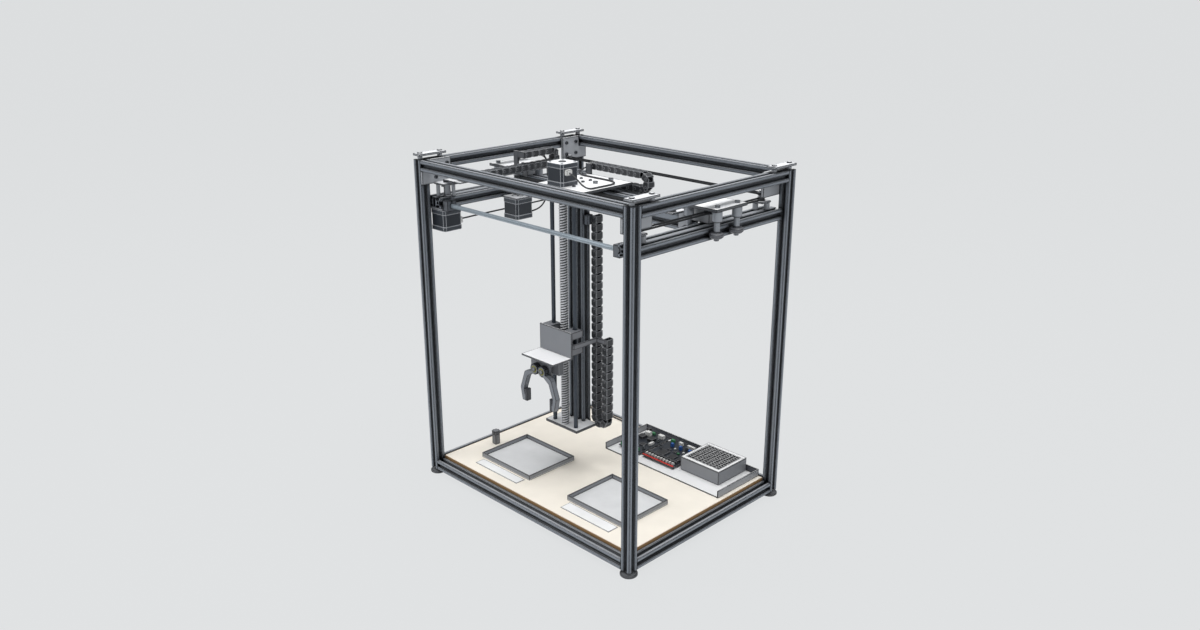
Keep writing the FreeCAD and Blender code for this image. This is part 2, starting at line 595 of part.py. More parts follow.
def y_drive():
    """The fixed motor, its plate and cap plate, the idlers, side belts and rear belt."""
    plate_thick = RAIL_TOP - PROFILE - Y_MOTOR_FACE
    save("y_motor", motor(-PULLEY_X, FRONT_PULLEY_Y, Y_MOTOR_FACE - MOTOR_HEIGHT, MOTOR_HEIGHT, True))
    half = MOTOR_SIDE / 2
    plate = box(-RAIL_X - RAIL_WIDTH / 2, -RAIL_X + RAIL_WIDTH / 2, FRONT_PULLEY_Y - half,
                FRONT_PULLEY_Y + half, Y_MOTOR_FACE, Y_MOTOR_FACE + plate_thick)
    plate = plate.cut(rod(MOTOR_BOSS_RADIUS + FIT, (-PULLEY_X, FRONT_PULLEY_Y, Y_MOTOR_FACE),
                          (-PULLEY_X, FRONT_PULLEY_Y, RAIL_TOP)))
    shaft_top = SIDE_BELT_Z + BELT_WIDTH / 2 + 2 * FLANGE_THICK + RUNNING_GAP
    cap = box(-INNER_X + GUSSET_THICK + RUNNING_GAP, -PULLEY_X + 21, FRONT_PULLEY_Y - 20, FRONT_PULLEY_Y + 12,
              shaft_top, shaft_top + X_BRACKET_THICK)
    posts = [rod(STANDOFF_RADIUS, (x, y, RAIL_TOP), (x, y, shaft_top))
             for x, y in ((-PULLEY_X + 16, FRONT_PULLEY_Y + 7), (-PULLEY_X - 1, FRONT_PULLEY_Y - 15))]
    cap = cap.cut(rod(WHEEL_BORE, (-PULLEY_X, FRONT_PULLEY_Y, shaft_top - 1), (-PULLEY_X, FRONT_PULLEY_Y, FRAME_TOP)))
    shaft = rod(MOTOR_SHAFT_RADIUS, (-PULLEY_X, FRONT_PULLEY_Y, Y_MOTOR_FACE - MOTOR_CAP + 1),
                (-PULLEY_X, FRONT_PULLEY_Y, shaft_top + X_BRACKET_THICK))
    wheel = pulley(-PULLEY_X, FRONT_PULLEY_Y, SIDE_BELT_Z, 1, None)
    save("y_motor_pulley", shaft.fuse(wheel).removeSplitter())
    save("y_front_idler", pulley(PULLEY_X, FRONT_PULLEY_Y, SIDE_BELT_Z, 1, WHEEL_BORE))
    save("rear_pulley_left", pulley(-PULLEY_X, REAR_PULLEY_Y, SIDE_BELT_Z, 2, WHEEL_BORE))
    save("rear_pulley_right", pulley(PULLEY_X, REAR_PULLEY_Y, SIDE_BELT_Z, 2, WHEEL_BORE))
    save("frame_brackets", group([plate, cap] + posts +
                                 [idler_bracket(PULLEY_X, FRONT_PULLEY_Y, 1),
                                  idler_bracket(-PULLEY_X, REAR_PULLEY_Y, 2),
                                  idler_bracket(PULLEY_X, REAR_PULLEY_Y, 2), y_chain_trough()]))
    side = belt_loop((PULLEY_X, FRONT_PULLEY_Y), (PULLEY_X, REAR_PULLEY_Y), SIDE_BELT_Z)
    rear = belt_loop((-PULLEY_X, REAR_PULLEY_Y), (PULLEY_X, REAR_PULLEY_Y), REAR_BELT_Z)
    save("y_belts", group([side, mirrored_x(side), rear]))


def y_chain_trough():
    """A channel under the Y chain on a bracket that stands on the left rail."""
    under = Y_CHAIN_Z - CHAIN_HEIGHT / 2
    half = CHAIN_WIDTH / 2
    front = Y_CHAIN_FRONT - 8
    rear = Y_CHAIN_BEND + 10
    floor = box(Y_CHAIN_X - half, Y_CHAIN_X + half, front, rear, under - TROUGH_THICK, under)
    tab = box(-RAIL_X + 10, Y_CHAIN_X - half, front, front + 14, under - TROUGH_THICK, under)
    leg = box(-RAIL_X + 10, -RAIL_X + 10 + TROUGH_THICK, front, front + 14, RAIL_TOP, under - TROUGH_THICK)
    foot = box(-RAIL_X + 10 + TROUGH_THICK, -RAIL_X + 19, front, front + 14, RAIL_TOP, RAIL_TOP + TROUGH_THICK)
    return group([floor, tab, leg, foot])


def tie_rod():
    """A steel rod across the front, held in a clamp block on each rail's inner face."""
    face = RAIL_X - RAIL_WIDTH / 2
    half = TIE_BLOCK / 2
    block = box(face - TIE_BLOCK_THICK, face, TIE_ROD_Y - half, TIE_ROD_Y + half, TIE_ROD_Z - half, TIE_ROD_Z + half)
    end = face - 2
    block = block.cut(rod(TIE_ROD_RADIUS, (0, TIE_ROD_Y, TIE_ROD_Z), (end, TIE_ROD_Y, TIE_ROD_Z)))
    slit = box(face - TIE_BLOCK_THICK, face - 4, TIE_ROD_Y - 0.6, TIE_ROD_Y + 0.6, TIE_ROD_Z, TIE_ROD_Z + half)
    block = block.cut(slit)
    bar = rod(TIE_ROD_RADIUS, (-end, TIE_ROD_Y, TIE_ROD_Z), (end, TIE_ROD_Y, TIE_ROD_Z))
    save("tie_rod", group([bar, block, mirrored_x(block)]))


# Wheels and axles

def vee_wheel(x, y, z):
    """A roller whose 45 degree flanks lie in the slot's mouth."""
    half = WHEEL_WIDTH / 2
    reach = WHEEL_RADIUS - WHEEL_SINK
    flank = SLOT_MOUTH / 2 - WHEEL_GAP * math.sqrt(2) + reach
    shoulder = flank - half
    hub = 5.6
    outline = [V(WHEEL_BORE, 0, -half), V(hub, 0, -half), V(hub, 0, -half + 0.8), V(hub + 1.2, 0, -half + 0.8),
               V(hub + 1.2, 0, -half), V(shoulder, 0, -half), V(WHEEL_RADIUS, 0, WHEEL_RADIUS - flank),
               V(WHEEL_RADIUS, 0, flank - WHEEL_RADIUS), V(shoulder, 0, half), V(hub + 1.2, 0, half),
               V(hub + 1.2, 0, half - 0.8), V(hub, 0, half - 0.8), V(hub, 0, half),
               V(WHEEL_BORE, 0, half), V(WHEEL_BORE, 0, -half)]
    wheel = Part.Face(Part.makePolygon(outline)).revolve(V(0, 0, 0), V(0, 0, 1), 360)
    wheel.translate(V(x, y, z))
    return wheel


def axle(x, y, wheel_z, under_plate, above_plate, collar, collar_height):
    """A bolt down through the plate, with a collar, a spacer, the wheel's journal and a nut."""
    top = wheel_z + WHEEL_WIDTH / 2 + RUNNING_GAP
    bottom = wheel_z - WHEEL_WIDTH / 2 - RUNNING_GAP
    pin = rod(AXLE_RADIUS, (x, y, bottom - NUT_HEIGHT), (x, y, above_plate))
    pin = pin.fuse(rod(SPACER_RADIUS, (x, y, top), (x, y, under_plate)))
    pin = pin.fuse(rod(collar, (x, y, under_plate - collar_height), (x, y, under_plate)))
    pin = pin.fuse(hexagon(NUT_RADIUS, NUT_HEIGHT, (x, y, bottom - NUT_HEIGHT)))
    pin = pin.fuse(rod(HEAD_RADIUS, (x, y, above_plate), (x, y, above_plate + HEAD_HEIGHT)))
    return pin.removeSplitter()


def y_wheel_places():
    return [(side * (RAIL_X + offset), BEAM_Y + along) for side in (-1, 1)
            for offset in (AXLE_OFFSET, -AXLE_OFFSET) for along in (-AXLE_SPACING / 2, AXLE_SPACING / 2)]


def x_wheel_places():
    return [(COLUMN_X + along, BEAM_Y + offset) for offset in (-X_AXLE_OFFSET, X_AXLE_OFFSET)
            for along in (-X_AXLE_SPACING / 2, X_AXLE_SPACING / 2)]


# Bridge

def chain_link_plates(length, count):
    """Side-on outline of one run of chain links, with notches where they hinge."""
    pitch = length / count
    notch = CHAIN_PLAY
    points = []
    for link in range(count):
        start = link * pitch
        points += [(start + notch / 2, 0), (start + pitch - notch / 2, 0)]
        if link < count - 1:
            points += [(start + pitch - notch / 2, notch), (start + pitch + notch / 2, notch)]
    return points


def chain_run(length, vertical):
    """One straight run of drag chain from the origin, its links along +X, or along +Z if vertical."""
    count = max(2, round(length / CHAIN_LINK))
    lower = [(x, y - CHAIN_HEIGHT / 2) for x, y in chain_link_plates(length, count)]
    upper = [(x, CHAIN_HEIGHT / 2 - y) for x, y in reversed(chain_link_plates(length, count))]
    points = lower + upper
    if vertical:
        corners = [V(y, -CHAIN_WIDTH / 2, x) for x, y in points]
    else:
        corners = [V(x, -CHAIN_WIDTH / 2, y) for x, y in points]
    return Part.Face(Part.makePolygon(corners + [corners[0]])).extrude(V(0, CHAIN_WIDTH, 0))


def chain_bend(radius, centre, start_angle):
    """The half turn between two runs, as short straight links round the bend."""
    steps = 4
    links = None
    for step in range(steps):
        middle = math.radians(start_angle + 180 / steps * (step + 0.5))
        outer = radius + CHAIN_HEIGHT / 2
        reach = outer * math.sin(math.pi / steps / 2)
        link = box(-reach, reach, -CHAIN_WIDTH / 2, CHAIN_WIDTH / 2, radius - CHAIN_HEIGHT / 2,
                   outer * math.cos(math.pi / steps / 2))
        link.rotate(V(0, 0, 0), V(0, 1, 0), 90 - math.degrees(middle))
        links = link if links is None else links.fuse(link)
    links.translate(V(*centre))
    return links


def flat_chain(fixed, end, bend, level, radius):
    """A drag chain lying along X at y = 0: lower run, bend at its right end, upper run."""
    lower = chain_run(bend - fixed, False)
    lower.translate(V(fixed, 0, level))
    upper = chain_run(bend - end, False)
    upper.translate(V(end, 0, level + 2 * radius))
    turn = chain_bend(radius, (bend, 0, level + radius), -90)
    return lower.fuse(turn).fuse(upper).removeSplitter()


def bridge():
    save("cross_beam", profile(1, 2, 2 * BLOCK_INNER, "x", (-BLOCK_INNER, BEAM_Y, BEAM_TOP - RAIL_WIDTH / 2)))
    belt_room = BELT_WIDTH / 2 + FLANGE_THICK
    clear = PULLEY_X - BELT_RADIUS - BELT_THICK / 2 - RUNNING_GAP
    block = box(BLOCK_INNER, BLOCK_INNER + BLOCK_THICK, BEAM_Y - PROFILE / 2, BEAM_Y + PROFILE / 2,
                RAIL_TOP + 0.5, PLATE_BOTTOM)
    block = block.cut(box(clear, HALF_X, 0, HALF_Y, SIDE_BELT_Z - belt_room, PLATE_TOP))
    save("beam_end_blocks", group([block, mirrored_x(block)]))
    half = CARRIAGE_WIDTH / 2
    plate = box(RAIL_X - half, RAIL_X + half, BEAM_Y - CARRIAGE_LENGTH / 2, BEAM_Y + CARRIAGE_LENGTH / 2,
                PLATE_BOTTOM, PLATE_TOP)
    for x, y in y_wheel_places():
        if x > 0:
            plate = plate.cut(rod(AXLE_RADIUS, (x, y, PLATE_BOTTOM), (x, y, PLATE_TOP)))
    arm_y = Y_CHAIN_END
    arm_z = Y_CHAIN_Z + 2 * Y_CHAIN_RADIUS - CHAIN_HEIGHT / 2
    inner = -RAIL_X + half
    left = [mirrored_x(plate), box(inner - 12, inner, arm_y - 3, arm_y, PLATE_TOP, arm_z + CHAIN_HEIGHT),
            box(inner, Y_CHAIN_X + CHAIN_WIDTH / 2, arm_y - 3, arm_y, arm_z, arm_z + CHAIN_HEIGHT)]
    outer_run = PULLEY_X + BELT_RADIUS + BELT_THICK / 2 + RUNNING_GAP
    clamp = box(outer_run, outer_run + 8, BEAM_Y - 10, BEAM_Y + 10, SIDE_BELT_Z - BELT_WIDTH / 2, PLATE_BOTTOM)
    save("carriage_plates", group(left + [plate, clamp]))
    axles = []
    for number, (x, y) in enumerate(y_wheel_places()):
        save("y_wheel_%d" % (number + 1), vee_wheel(x, y, RAIL_Z))
        axles.append(axle(x, y, RAIL_Z, PLATE_BOTTOM, PLATE_TOP, COLLAR_RADIUS, COLLAR_HEIGHT))
    save("y_wheel_axles", group(axles))


def x_drive():
    """The bridge motor hung on a bracket below the belt, the idler at the far end, and the belt."""
    face = X_MOTOR_FACE
    save("x_motor", motor(X_MOTOR_X, X_MOTOR_Y, face - MOTOR_HEIGHT, MOTOR_HEIGHT, True))
    half = MOTOR_SIDE / 2
    beam_face = BEAM_Y - PROFILE / 2
    shelf = box(X_MOTOR_X - half, X_MOTOR_X + half, X_MOTOR_Y - half, beam_face, face, face + X_BRACKET_THICK)
    shelf = shelf.cut(rod(MOTOR_BOSS_RADIUS + FIT, (X_MOTOR_X, X_MOTOR_Y, face), (X_MOTOR_X, X_MOTOR_Y, face + 9)))
    notch_x, notch_y = -RAIL_X + AXLE_OFFSET, BEAM_Y - AXLE_SPACING / 2
    shelf = shelf.cut(rod(NUT_RADIUS + 2, (notch_x, notch_y, face - 1), (notch_x, notch_y, face + 9)))
    leg = box(X_MOTOR_X - half, X_MOTOR_X + half, beam_face - X_BRACKET_THICK, beam_face,
              face + X_BRACKET_THICK, RAIL_TOP)
    low = X_BELT_Z - BELT_WIDTH / 2 - FLANGE_THICK - 3 * RUNNING_GAP
    arm = box(X_IDLER_X - 9, X_IDLER_X + 9, X_MOTOR_Y - 9, beam_face, low - X_BRACKET_THICK, low)
    arm_leg = box(X_IDLER_X - 9, X_IDLER_X + 9, beam_face - X_BRACKET_THICK, beam_face,
                  BEAM_BOTTOM + 4, low - X_BRACKET_THICK)
    pin_top = X_BELT_Z + BELT_WIDTH / 2 + FLANGE_THICK + 2 * RUNNING_GAP
    pin = rod(AXLE_RADIUS, (X_IDLER_X, X_MOTOR_Y, low), (X_IDLER_X, X_MOTOR_Y, pin_top))
    pin = pin.fuse(rod(HEAD_RADIUS, (X_IDLER_X, X_MOTOR_Y, pin_top), (X_IDLER_X, X_MOTOR_Y, pin_top + 1.5)))
    save("bridge_brackets", group([shelf, leg, arm, arm_leg, pin, x_chain_trough()]))
    shaft = rod(MOTOR_SHAFT_RADIUS, (X_MOTOR_X, X_MOTOR_Y, face - MOTOR_CAP + 1), (X_MOTOR_X, X_MOTOR_Y, pin_top))
    save("x_motor_pulley", shaft.fuse(pulley(X_MOTOR_X, X_MOTOR_Y, X_BELT_Z, 1, None)).removeSplitter())
    save("x_idler_pulley", pulley(X_IDLER_X, X_MOTOR_Y, X_BELT_Z, 1, WHEEL_BORE))
    save("x_belt", belt_loop((X_MOTOR_X, X_MOTOR_Y), (X_IDLER_X, X_MOTOR_Y), X_BELT_Z))


def x_chain_trough():
    """A shelf behind the beam that the X chain's lower run lies on."""
    under = X_CHAIN_Z - CHAIN_HEIGHT / 2
    back = BEAM_Y + PROFILE / 2
    half = CHAIN_WIDTH / 2
    left = X_CHAIN_FIXED - 6
    right = X_CHAIN_BEND + 20
    wall = box(left, right, back, back + TROUGH_THICK, BEAM_BOTTOM + 3, BEAM_BOTTOM + 17)
    web = box(left, right, back, X_CHAIN_Y + half, BEAM_BOTTOM + 1, BEAM_BOTTOM + 3)
    rise = box(left, right, X_CHAIN_Y + half - TROUGH_THICK, X_CHAIN_Y + half, BEAM_BOTTOM + 3, under - TROUGH_THICK)
    lip = box(left, right, X_CHAIN_Y - half, X_CHAIN_Y + half, under - TROUGH_THICK, under)
    return group([wall, web, rise, lip])


def chains():
    x_chain = flat_chain(X_CHAIN_FIXED, X_CHAIN_END, X_CHAIN_BEND, X_CHAIN_Z, X_CHAIN_RADIUS)
    x_chain.translate(V(0, X_CHAIN_Y, 0))
    save("x_chain", x_chain)
    y_chain = flat_chain(Y_CHAIN_FRONT, Y_CHAIN_END, Y_CHAIN_BEND, Y_CHAIN_Z, Y_CHAIN_RADIUS)
    y_chain.rotate(V(0, 0, 0), V(0, 0, 1), 90)
    y_chain.translate(V(Y_CHAIN_X, 0, 0))
    save("y_chain", y_chain)
    fixed = chain_run(Z_CHAIN_TOP - Z_CHAIN_BEND, True)
    fixed.translate(V(Z_CHAIN_FIXED_X, Z_CHAIN_Y, Z_CHAIN_BEND))
    moving = chain_run(Z_CHAIN_END - Z_CHAIN_BEND, True)
    moving.translate(V(Z_CHAIN_FIXED_X + 2 * Z_CHAIN_RADIUS, Z_CHAIN_Y, Z_CHAIN_BEND))
    turn = chain_bend(Z_CHAIN_RADIUS, (Z_CHAIN_FIXED_X + Z_CHAIN_RADIUS, Z_CHAIN_Y, Z_CHAIN_BEND), 180)
    save("z_chain", fixed.fuse(turn).fuse(moving).removeSplitter())


# X carriage with the hanging column

def x_carriage():
    plate = box(X_PLATE_LEFT, X_PLATE_RIGHT, X_PLATE_FRONT, X_PLATE_REAR, X_PLATE_BOTTOM, X_PLATE_TOP)
    for x, y in x_wheel_places():
        plate = plate.cut(rod(AXLE_RADIUS, (x, y, X_PLATE_BOTTOM), (x, y, X_PLATE_TOP)))
    plate = plate.cut(rod(JOURNAL_RADIUS + FIT, (COLUMN_X, SCREW_Y, X_PLATE_BOTTOM), (COLUMN_X, SCREW_Y, X_PLATE_TOP)))
    arm_z = X_CHAIN_Z + 2 * X_CHAIN_RADIUS - CHAIN_HEIGHT / 2
    left = X_CHAIN_END - 3
    wall = box(left, left + 14, X_PLATE_REAR - 3, X_PLATE_REAR, X_PLATE_TOP, arm_z + CHAIN_HEIGHT)
    arm = box(left, left + 3, X_PLATE_REAR, X_CHAIN_Y + CHAIN_WIDTH / 2, arm_z, arm_z + CHAIN_HEIGHT)
    hole_z = arm_z + CHAIN_HEIGHT / 2
    arm = arm.cut(rod(CHAIN_ARM_HOLE, (left, X_CHAIN_Y - 1.5, hole_z), (left + 3, X_CHAIN_Y - 1.5, hole_z)))
    save("x_carriage_plate", group([plate, wall, arm]))
    axles = []
    for number, (x, y) in enumerate(x_wheel_places()):
        save("x_wheel_%d" % (number + 1), vee_wheel(x, y, X_WHEEL_Z))
        axles.append(axle(x, y, X_WHEEL_Z, X_PLATE_BOTTOM, X_PLATE_TOP, SPACER_RADIUS + 1, 6.0))
    save("x_wheel_axles", group(axles))
    column = profile(2, 1, COLUMN_TOP - FOOT_PLATE_TOP, "z", (COLUMN_X, COLUMN_FRONT + PROFILE / 2, FOOT_PLATE_TOP))
    front = X_MOTOR_Y + BELT_RADIUS + BELT_THICK / 2 + RUNNING_GAP
    head = box(COLUMN_X - PROFILE, COLUMN_X + PROFILE, front, COLUMN_FRONT + PROFILE, COLUMN_TOP, X_PLATE_BOTTOM)
    side = COLUMN_X + PROFILE
    clip = box(side, Z_CHAIN_FIXED_X - CHAIN_HEIGHT / 2, COLUMN_FRONT + 4, COLUMN_FRONT + PROFILE - 2,
               Z_CHAIN_TOP - CHAIN_WIDTH, Z_CHAIN_TOP)
    save("z_column", group([column, head, clip]))
    half = ROD_SPACING / 2
    rods = [rod(ROD_RADIUS, (COLUMN_X + x, SCREW_Y, FOOT_PLATE_TOP), (COLUMN_X + x, SCREW_Y, X_PLATE_BOTTOM))
            for x in (-half, half)]
    save("guide_rods", group(rods))
    width = FOOT_PLATE_WIDTH / 2
    under = FOOT_PLATE_TOP - PLATE_THICK
    foot = box(COLUMN_X - width, COLUMN_X + width, FOOT_PLATE_FRONT, FOOT_PLATE_REAR, under, FOOT_PLATE_TOP)
    foot = foot.fuse(box(COLUMN_X - PROFILE, COLUMN_X + PROFILE, FOOT_PLATE_REAR, COLUMN_FRONT + PROFILE,
                         under, FOOT_PLATE_TOP))
    foot = foot.cut(rod(JOURNAL_RADIUS + FIT, (COLUMN_X, SCREW_Y, under), (COLUMN_X, SCREW_Y, FOOT_PLATE_TOP)))
    for x in (-half, half):
        foot = foot.fuse(hexagon(NUT_RADIUS + 2, NUT_HEIGHT, (COLUMN_X + x, SCREW_Y, under - NUT_HEIGHT)))
    for x in (-PROFILE / 2, PROFILE / 2):
        foot = foot.fuse(rod(HEAD_RADIUS, (COLUMN_X + x, COLUMN_FRONT + PROFILE / 2, under - NUT_HEIGHT),
                             (COLUMN_X + x, COLUMN_FRONT + PROFILE / 2, under)))
    save("z_bottom_plate", foot.removeSplitter())
    save("z_motor", motor(COLUMN_X, SCREW_Y, X_PLATE_TOP, Z_MOTOR_HEIGHT, False))


def lead_screw():
    """A coarse screw between its two journals, with the thread as rings one lead apart."""
    low = FOOT_PLATE_TOP + RUNNING_GAP
    high = X_PLATE_BOTTOM - RUNNING_GAP
    core = SCREW_RADIUS - SCREW_THREAD_DEPTH
    points = [V(0, 0, low - PLATE_THICK), V(JOURNAL_RADIUS, 0, low - PLATE_THICK), V(JOURNAL_RADIUS, 0, low),
              V(core, 0, low)]
    crest = SCREW_LEAD * 0.35
    turns = int((high - low) / SCREW_LEAD)
    for turn in range(turns):
        z = low + turn * SCREW_LEAD
        points += [V(core, 0, z + SCREW_LEAD * 0.15), V(SCREW_RADIUS, 0, z + SCREW_LEAD * 0.3),
                   V(SCREW_RADIUS, 0, z + SCREW_LEAD * 0.3 + crest), V(core, 0, z + SCREW_LEAD * 0.8)]
    points += [V(core, 0, high), V(JOURNAL_RADIUS, 0, high), V(JOURNAL_RADIUS, 0, X_PLATE_TOP + MOTOR_CAP - 1),
               V(0, 0, X_PLATE_TOP + MOTOR_CAP - 1), V(0, 0, low - PLATE_THICK)]
    screw = Part.Face(Part.makePolygon(points)).revolve(V(0, 0, 0), V(0, 0, 1), 360)
    screw.translate(V(COLUMN_X, SCREW_Y, 0))
    save("lead_screw", screw)


# Z carriage and gripper

def z_carriage():
    half = GRIP_WIDTH / 2
    left, right = COLUMN_X - half, COLUMN_X + half
    back = BACK_PLATE_Y + BACK_PLATE_THICK
    top = GRIP_PLATE_Z + BACK_PLATE_THICK
    save("z_carriage_plate", box(left, right, BACK_PLATE_Y, back, GRIP_PLATE_Z, top + BACK_PLATE_HEIGHT))
    pieces = []
    for x in (-ROD_SPACING / 2, ROD_SPACING / 2):
        for z in (top + 3, top + BACK_PLATE_HEIGHT - BEARING_LENGTH - 1):
            wide = BEARING_WIDTH / 2
            block = box(COLUMN_X + x - wide, COLUMN_X + x + wide, back, back + BEARING_DEPTH, z, z + BEARING_LENGTH)
            pieces.append(block.cut(rod(ROD_RADIUS + FIT, (COLUMN_X + x, SCREW_Y, z), (COLUMN_X + x, SCREW_Y, z + 20))))
    nut_z = CHAIN_ARM_Z
    nut = box(COLUMN_X - 14, COLUMN_X + 14, back, back + 33, nut_z, nut_z + BEARING_LENGTH)
    bore = rod(SCREW_RADIUS + RUNNING_GAP, (COLUMN_X, SCREW_Y, nut_z), (COLUMN_X, SCREW_Y, nut_z + 20))
    pieces.append(nut.cut(bore))
    arm_x = right
    chain_front = Z_CHAIN_Y - CHAIN_WIDTH / 2
    chain_x = Z_CHAIN_FIXED_X + 2 * Z_CHAIN_RADIUS
    arm_top = CHAIN_ARM_Z + CHAIN_ARM_HEIGHT
    pieces.append(box(arm_x - 8, arm_x, back, back + 4, CHAIN_ARM_Z, arm_top))
    pieces.append(box(arm_x, arm_x + 4, back, chain_front, CHAIN_ARM_Z, arm_top))
    pieces.append(box(arm_x + 4, chain_x + CHAIN_HEIGHT / 2, chain_front - 4, chain_front, CHAIN_ARM_Z, arm_top))
    save("rod_bearing_blocks", group(pieces))
    deck = box(left, right, GRIP_PLATE_FRONT, BACK_PLATE_Y, GRIP_PLATE_Z, top)
    flange = box(left + 13, right - 18, FLANGE_Y, FLANGE_Y + FLANGE_PLATE, PIVOT_Z - 12, GRIP_PLATE_Z)
    deck = deck.fuse(flange)
    for side in (-1, 1):
        x = COLUMN_X + side * GEAR_SPACING / 2
        deck = deck.fuse(rod(PIVOT_RADIUS, (x, FLANGE_Y, PIVOT_Z), (x, FINGER_FRONT - RUNNING_GAP, PIVOT_Z)))
        deck = deck.fuse(rod(HEAD_RADIUS, (x, FINGER_FRONT - RUNNING_GAP, PIVOT_Z),
                             (x, FINGER_FRONT - RUNNING_GAP - 1.5, PIVOT_Z)))
    save("gripper_plate", deck.removeSplitter())
    servo_y = FLANGE_Y + FLANGE_PLATE
    servo = box(right - SERVO_LENGTH - 1, right - 1, servo_y, servo_y + SERVO_DEPTH,
                GRIP_PLATE_Z - SERVO_HEIGHT, GRIP_PLATE_Z)
    save("gripper_servo", servo)


def gear_outline(phase):
    """A spur gear's rim in the XZ plane, four points a tooth, round the origin."""
    points = []
    pitch = 360 / GEAR_TEETH
    at_pitch = 90 * (math.pi * GEAR_MODULE / 2 - GEAR_BACKLASH) / (math.pi * GEAR_RADIUS)
    tip = GEAR_RADIUS + 0.8 * GEAR_MODULE
    root = GEAR_RADIUS - 1.15 * GEAR_MODULE
    for tooth in range(GEAR_TEETH):
        centre = phase + tooth * pitch
        for radius, offset in ((root, -at_pitch * 1.7), (tip, -at_pitch * 0.5), (tip, at_pitch * 0.5), (root, at_pitch * 1.7)):
            angle = math.radians(centre + offset)
            points.append(V(radius * math.cos(angle), 0, radius * math.sin(angle)))
    return points + [points[0]]


def finger(side):
    """A curved arm with a toothed hub and an upright tip. side is +1 for the right finger."""
    phase = 0.0 if side < 0 else 180 / GEAR_TEETH
    hub = Part.Face(Part.makePolygon(gear_outline(phase))).extrude(V(0, FINGER_THICK, 0))
    outer = [(6.0, -5.0), (27.0, -12.0), (39.0, -46.0), (34.0, -71.0)]
    inner = [(26.0, -71.0), (29.5, -47.0), (19.5, -19.5), (2.0, -7.5)]
    out_arc = Part.Arc(V(outer[0][0], 0, outer[0][1]), V(21.0, 0, -7.5), V(outer[1][0], 0, outer[1][1])).toShape()
    edges = [out_arc]
    path = outer[1:] + inner
    for start, end in zip(path, path[1:] + [outer[0]]):
        edges.append(Part.LineSegment(V(start[0], 0, start[1]), V(end[0], 0, end[1])).toShape())
    arm = Part.Face(Part.Wire(edges)).extrude(V(0, FINGER_THICK, 0))
    pad = box(26.0 - PAD_THICK, 27.5, 0, FINGER_THICK, -71.0, -48.0)
    shape = hub.fuse(mirrored_x(arm.fuse(pad)) if side < 0 else arm.fuse(pad))
    shape = shape.cut(rod(WHEEL_BORE, (0, -1, 0), (0, FINGER_THICK + 1, 0)))
    shape.translate(V(COLUMN_X + side * GEAR_SPACING / 2, FINGER_FRONT, PIVOT_Z))
    return shape.removeSplitter()


# Cables

def cable(points, radius):
    """A tube of straight runs joined by tangent arcs, each arc as large as its runs allow."""
    corners = [V(*p) for p in points]
    edges = []
    here = corners[0]
    radii = []
    for before, corner, after in zip(corners, corners[1:], corners[2:]):
        into = (corner - before).normalize()
        out = (after - corner).normalize()
        turn = into.getAngle(out)
        run = min((corner - before).Length, (after - corner).Length)
        setback = 0.45 * run
        radii.append(round(setback / math.tan(turn / 2), 1))
        start = corner - into * setback
        end = corner + out * setback
        bisector = (out - into).normalize()
        middle_gap = (setback / math.tan(turn / 2)) * (1 / math.cos(turn / 2) - 1)
        middle = corner + bisector * middle_gap
        edges.append(Part.LineSegment(here, start).toShape())
        edges.append(Part.Arc(start, middle, end).toShape())
        here = end
    edges.append(Part.LineSegment(here, corners[-1]).toShape())
    path = Part.Wire(edges)
    first = (corners[1] - corners[0]).normalize()
    ring = Part.Wire(Part.makeCircle(radius, corners[0], first))
    tube = path.makePipeShell([ring], True, True, 2)
    true_volume = math.pi * radius ** 2 * path.Length
    print("cable length %.1f, radii %s, volume ratio %.4f" % (path.Length, radii, tube.Volume / true_volume))
    return tube


Y_MOTOR_FACE = RAIL_TOP - PROFILE - 4.5
X_MOTOR_FACE = RAIL_TOP - PROFILE

# Cable routes: from the rear of each motor to the chain or the tray that it feeds
CABLE_HIGH = Y_MOTOR_FACE - 75
CABLE_LOW = BOARD_TOP + 95.6
TRAY_CABLE_X = ELEC_X0 - 46
RAIL_CABLE = [(-PULLEY_X + 6, FRONT_PULLEY_Y + MOTOR_SIDE / 2, Y_MOTOR_FACE - 24),
              (-PULLEY_X + 6, FRONT_PULLEY_Y + 39.5, Y_MOTOR_FACE - 24), (-PULLEY_X + 5, FRONT_PULLEY_Y + 63.5, Y_MOTOR_FACE - 23.7),
              (-PULLEY_X + 4, -50, Y_MOTOR_FACE - 23.5), (-PULLEY_X + 4, 0, Y_MOTOR_FACE - 23.3),
              (-PULLEY_X + 3, 50, Y_MOTOR_FACE - 23.1), (-PULLEY_X + 1, INNER_Y - 87.5, Y_MOTOR_FACE - 22.9),
              (-RAIL_X - 1, INNER_Y - 47.5, Y_MOTOR_FACE - 3), (-RAIL_X - 7, INNER_Y - 22.5, Y_MOTOR_FACE - 11),
              (-RAIL_X - 14, INNER_Y - 5.5, Y_MOTOR_FACE - 33)]
POST_CABLE = [(-RAIL_X - (17 if n % 2 == 0 else 19), INNER_Y - 1.7, CABLE_HIGH + (CABLE_LOW - CABLE_HIGH) * n / 6)
              for n in range(7)]
TRAY_CABLE = [(-RAIL_X - 17, INNER_Y - 2, BOARD_TOP + 47.6), (-RAIL_X - 9, INNER_Y - 3.5, BOARD_TOP + 15.6),
              (-RAIL_X + 15, INNER_Y - 6.5, BOARD_TOP + 3.1), (-RAIL_X + 49, INNER_Y - 8.5, BOARD_TOP + 1.8),
              ((TRAY_CABLE_X - RAIL_X + 49) / 2 + 2, INNER_Y - 6.5, BOARD_TOP + 1.8),
              (TRAY_CABLE_X, INNER_Y - 9.5, BOARD_TOP + 1.8), (ELEC_X0 - 16, INNER_Y - 13.5, BOARD_TOP + 3.1),
              (ELEC_X0, INNER_Y - 17.5, BOARD_TOP + 4.6)]
Y_MOTOR_CABLE = RAIL_CABLE + POST_CABLE + TRAY_CABLE
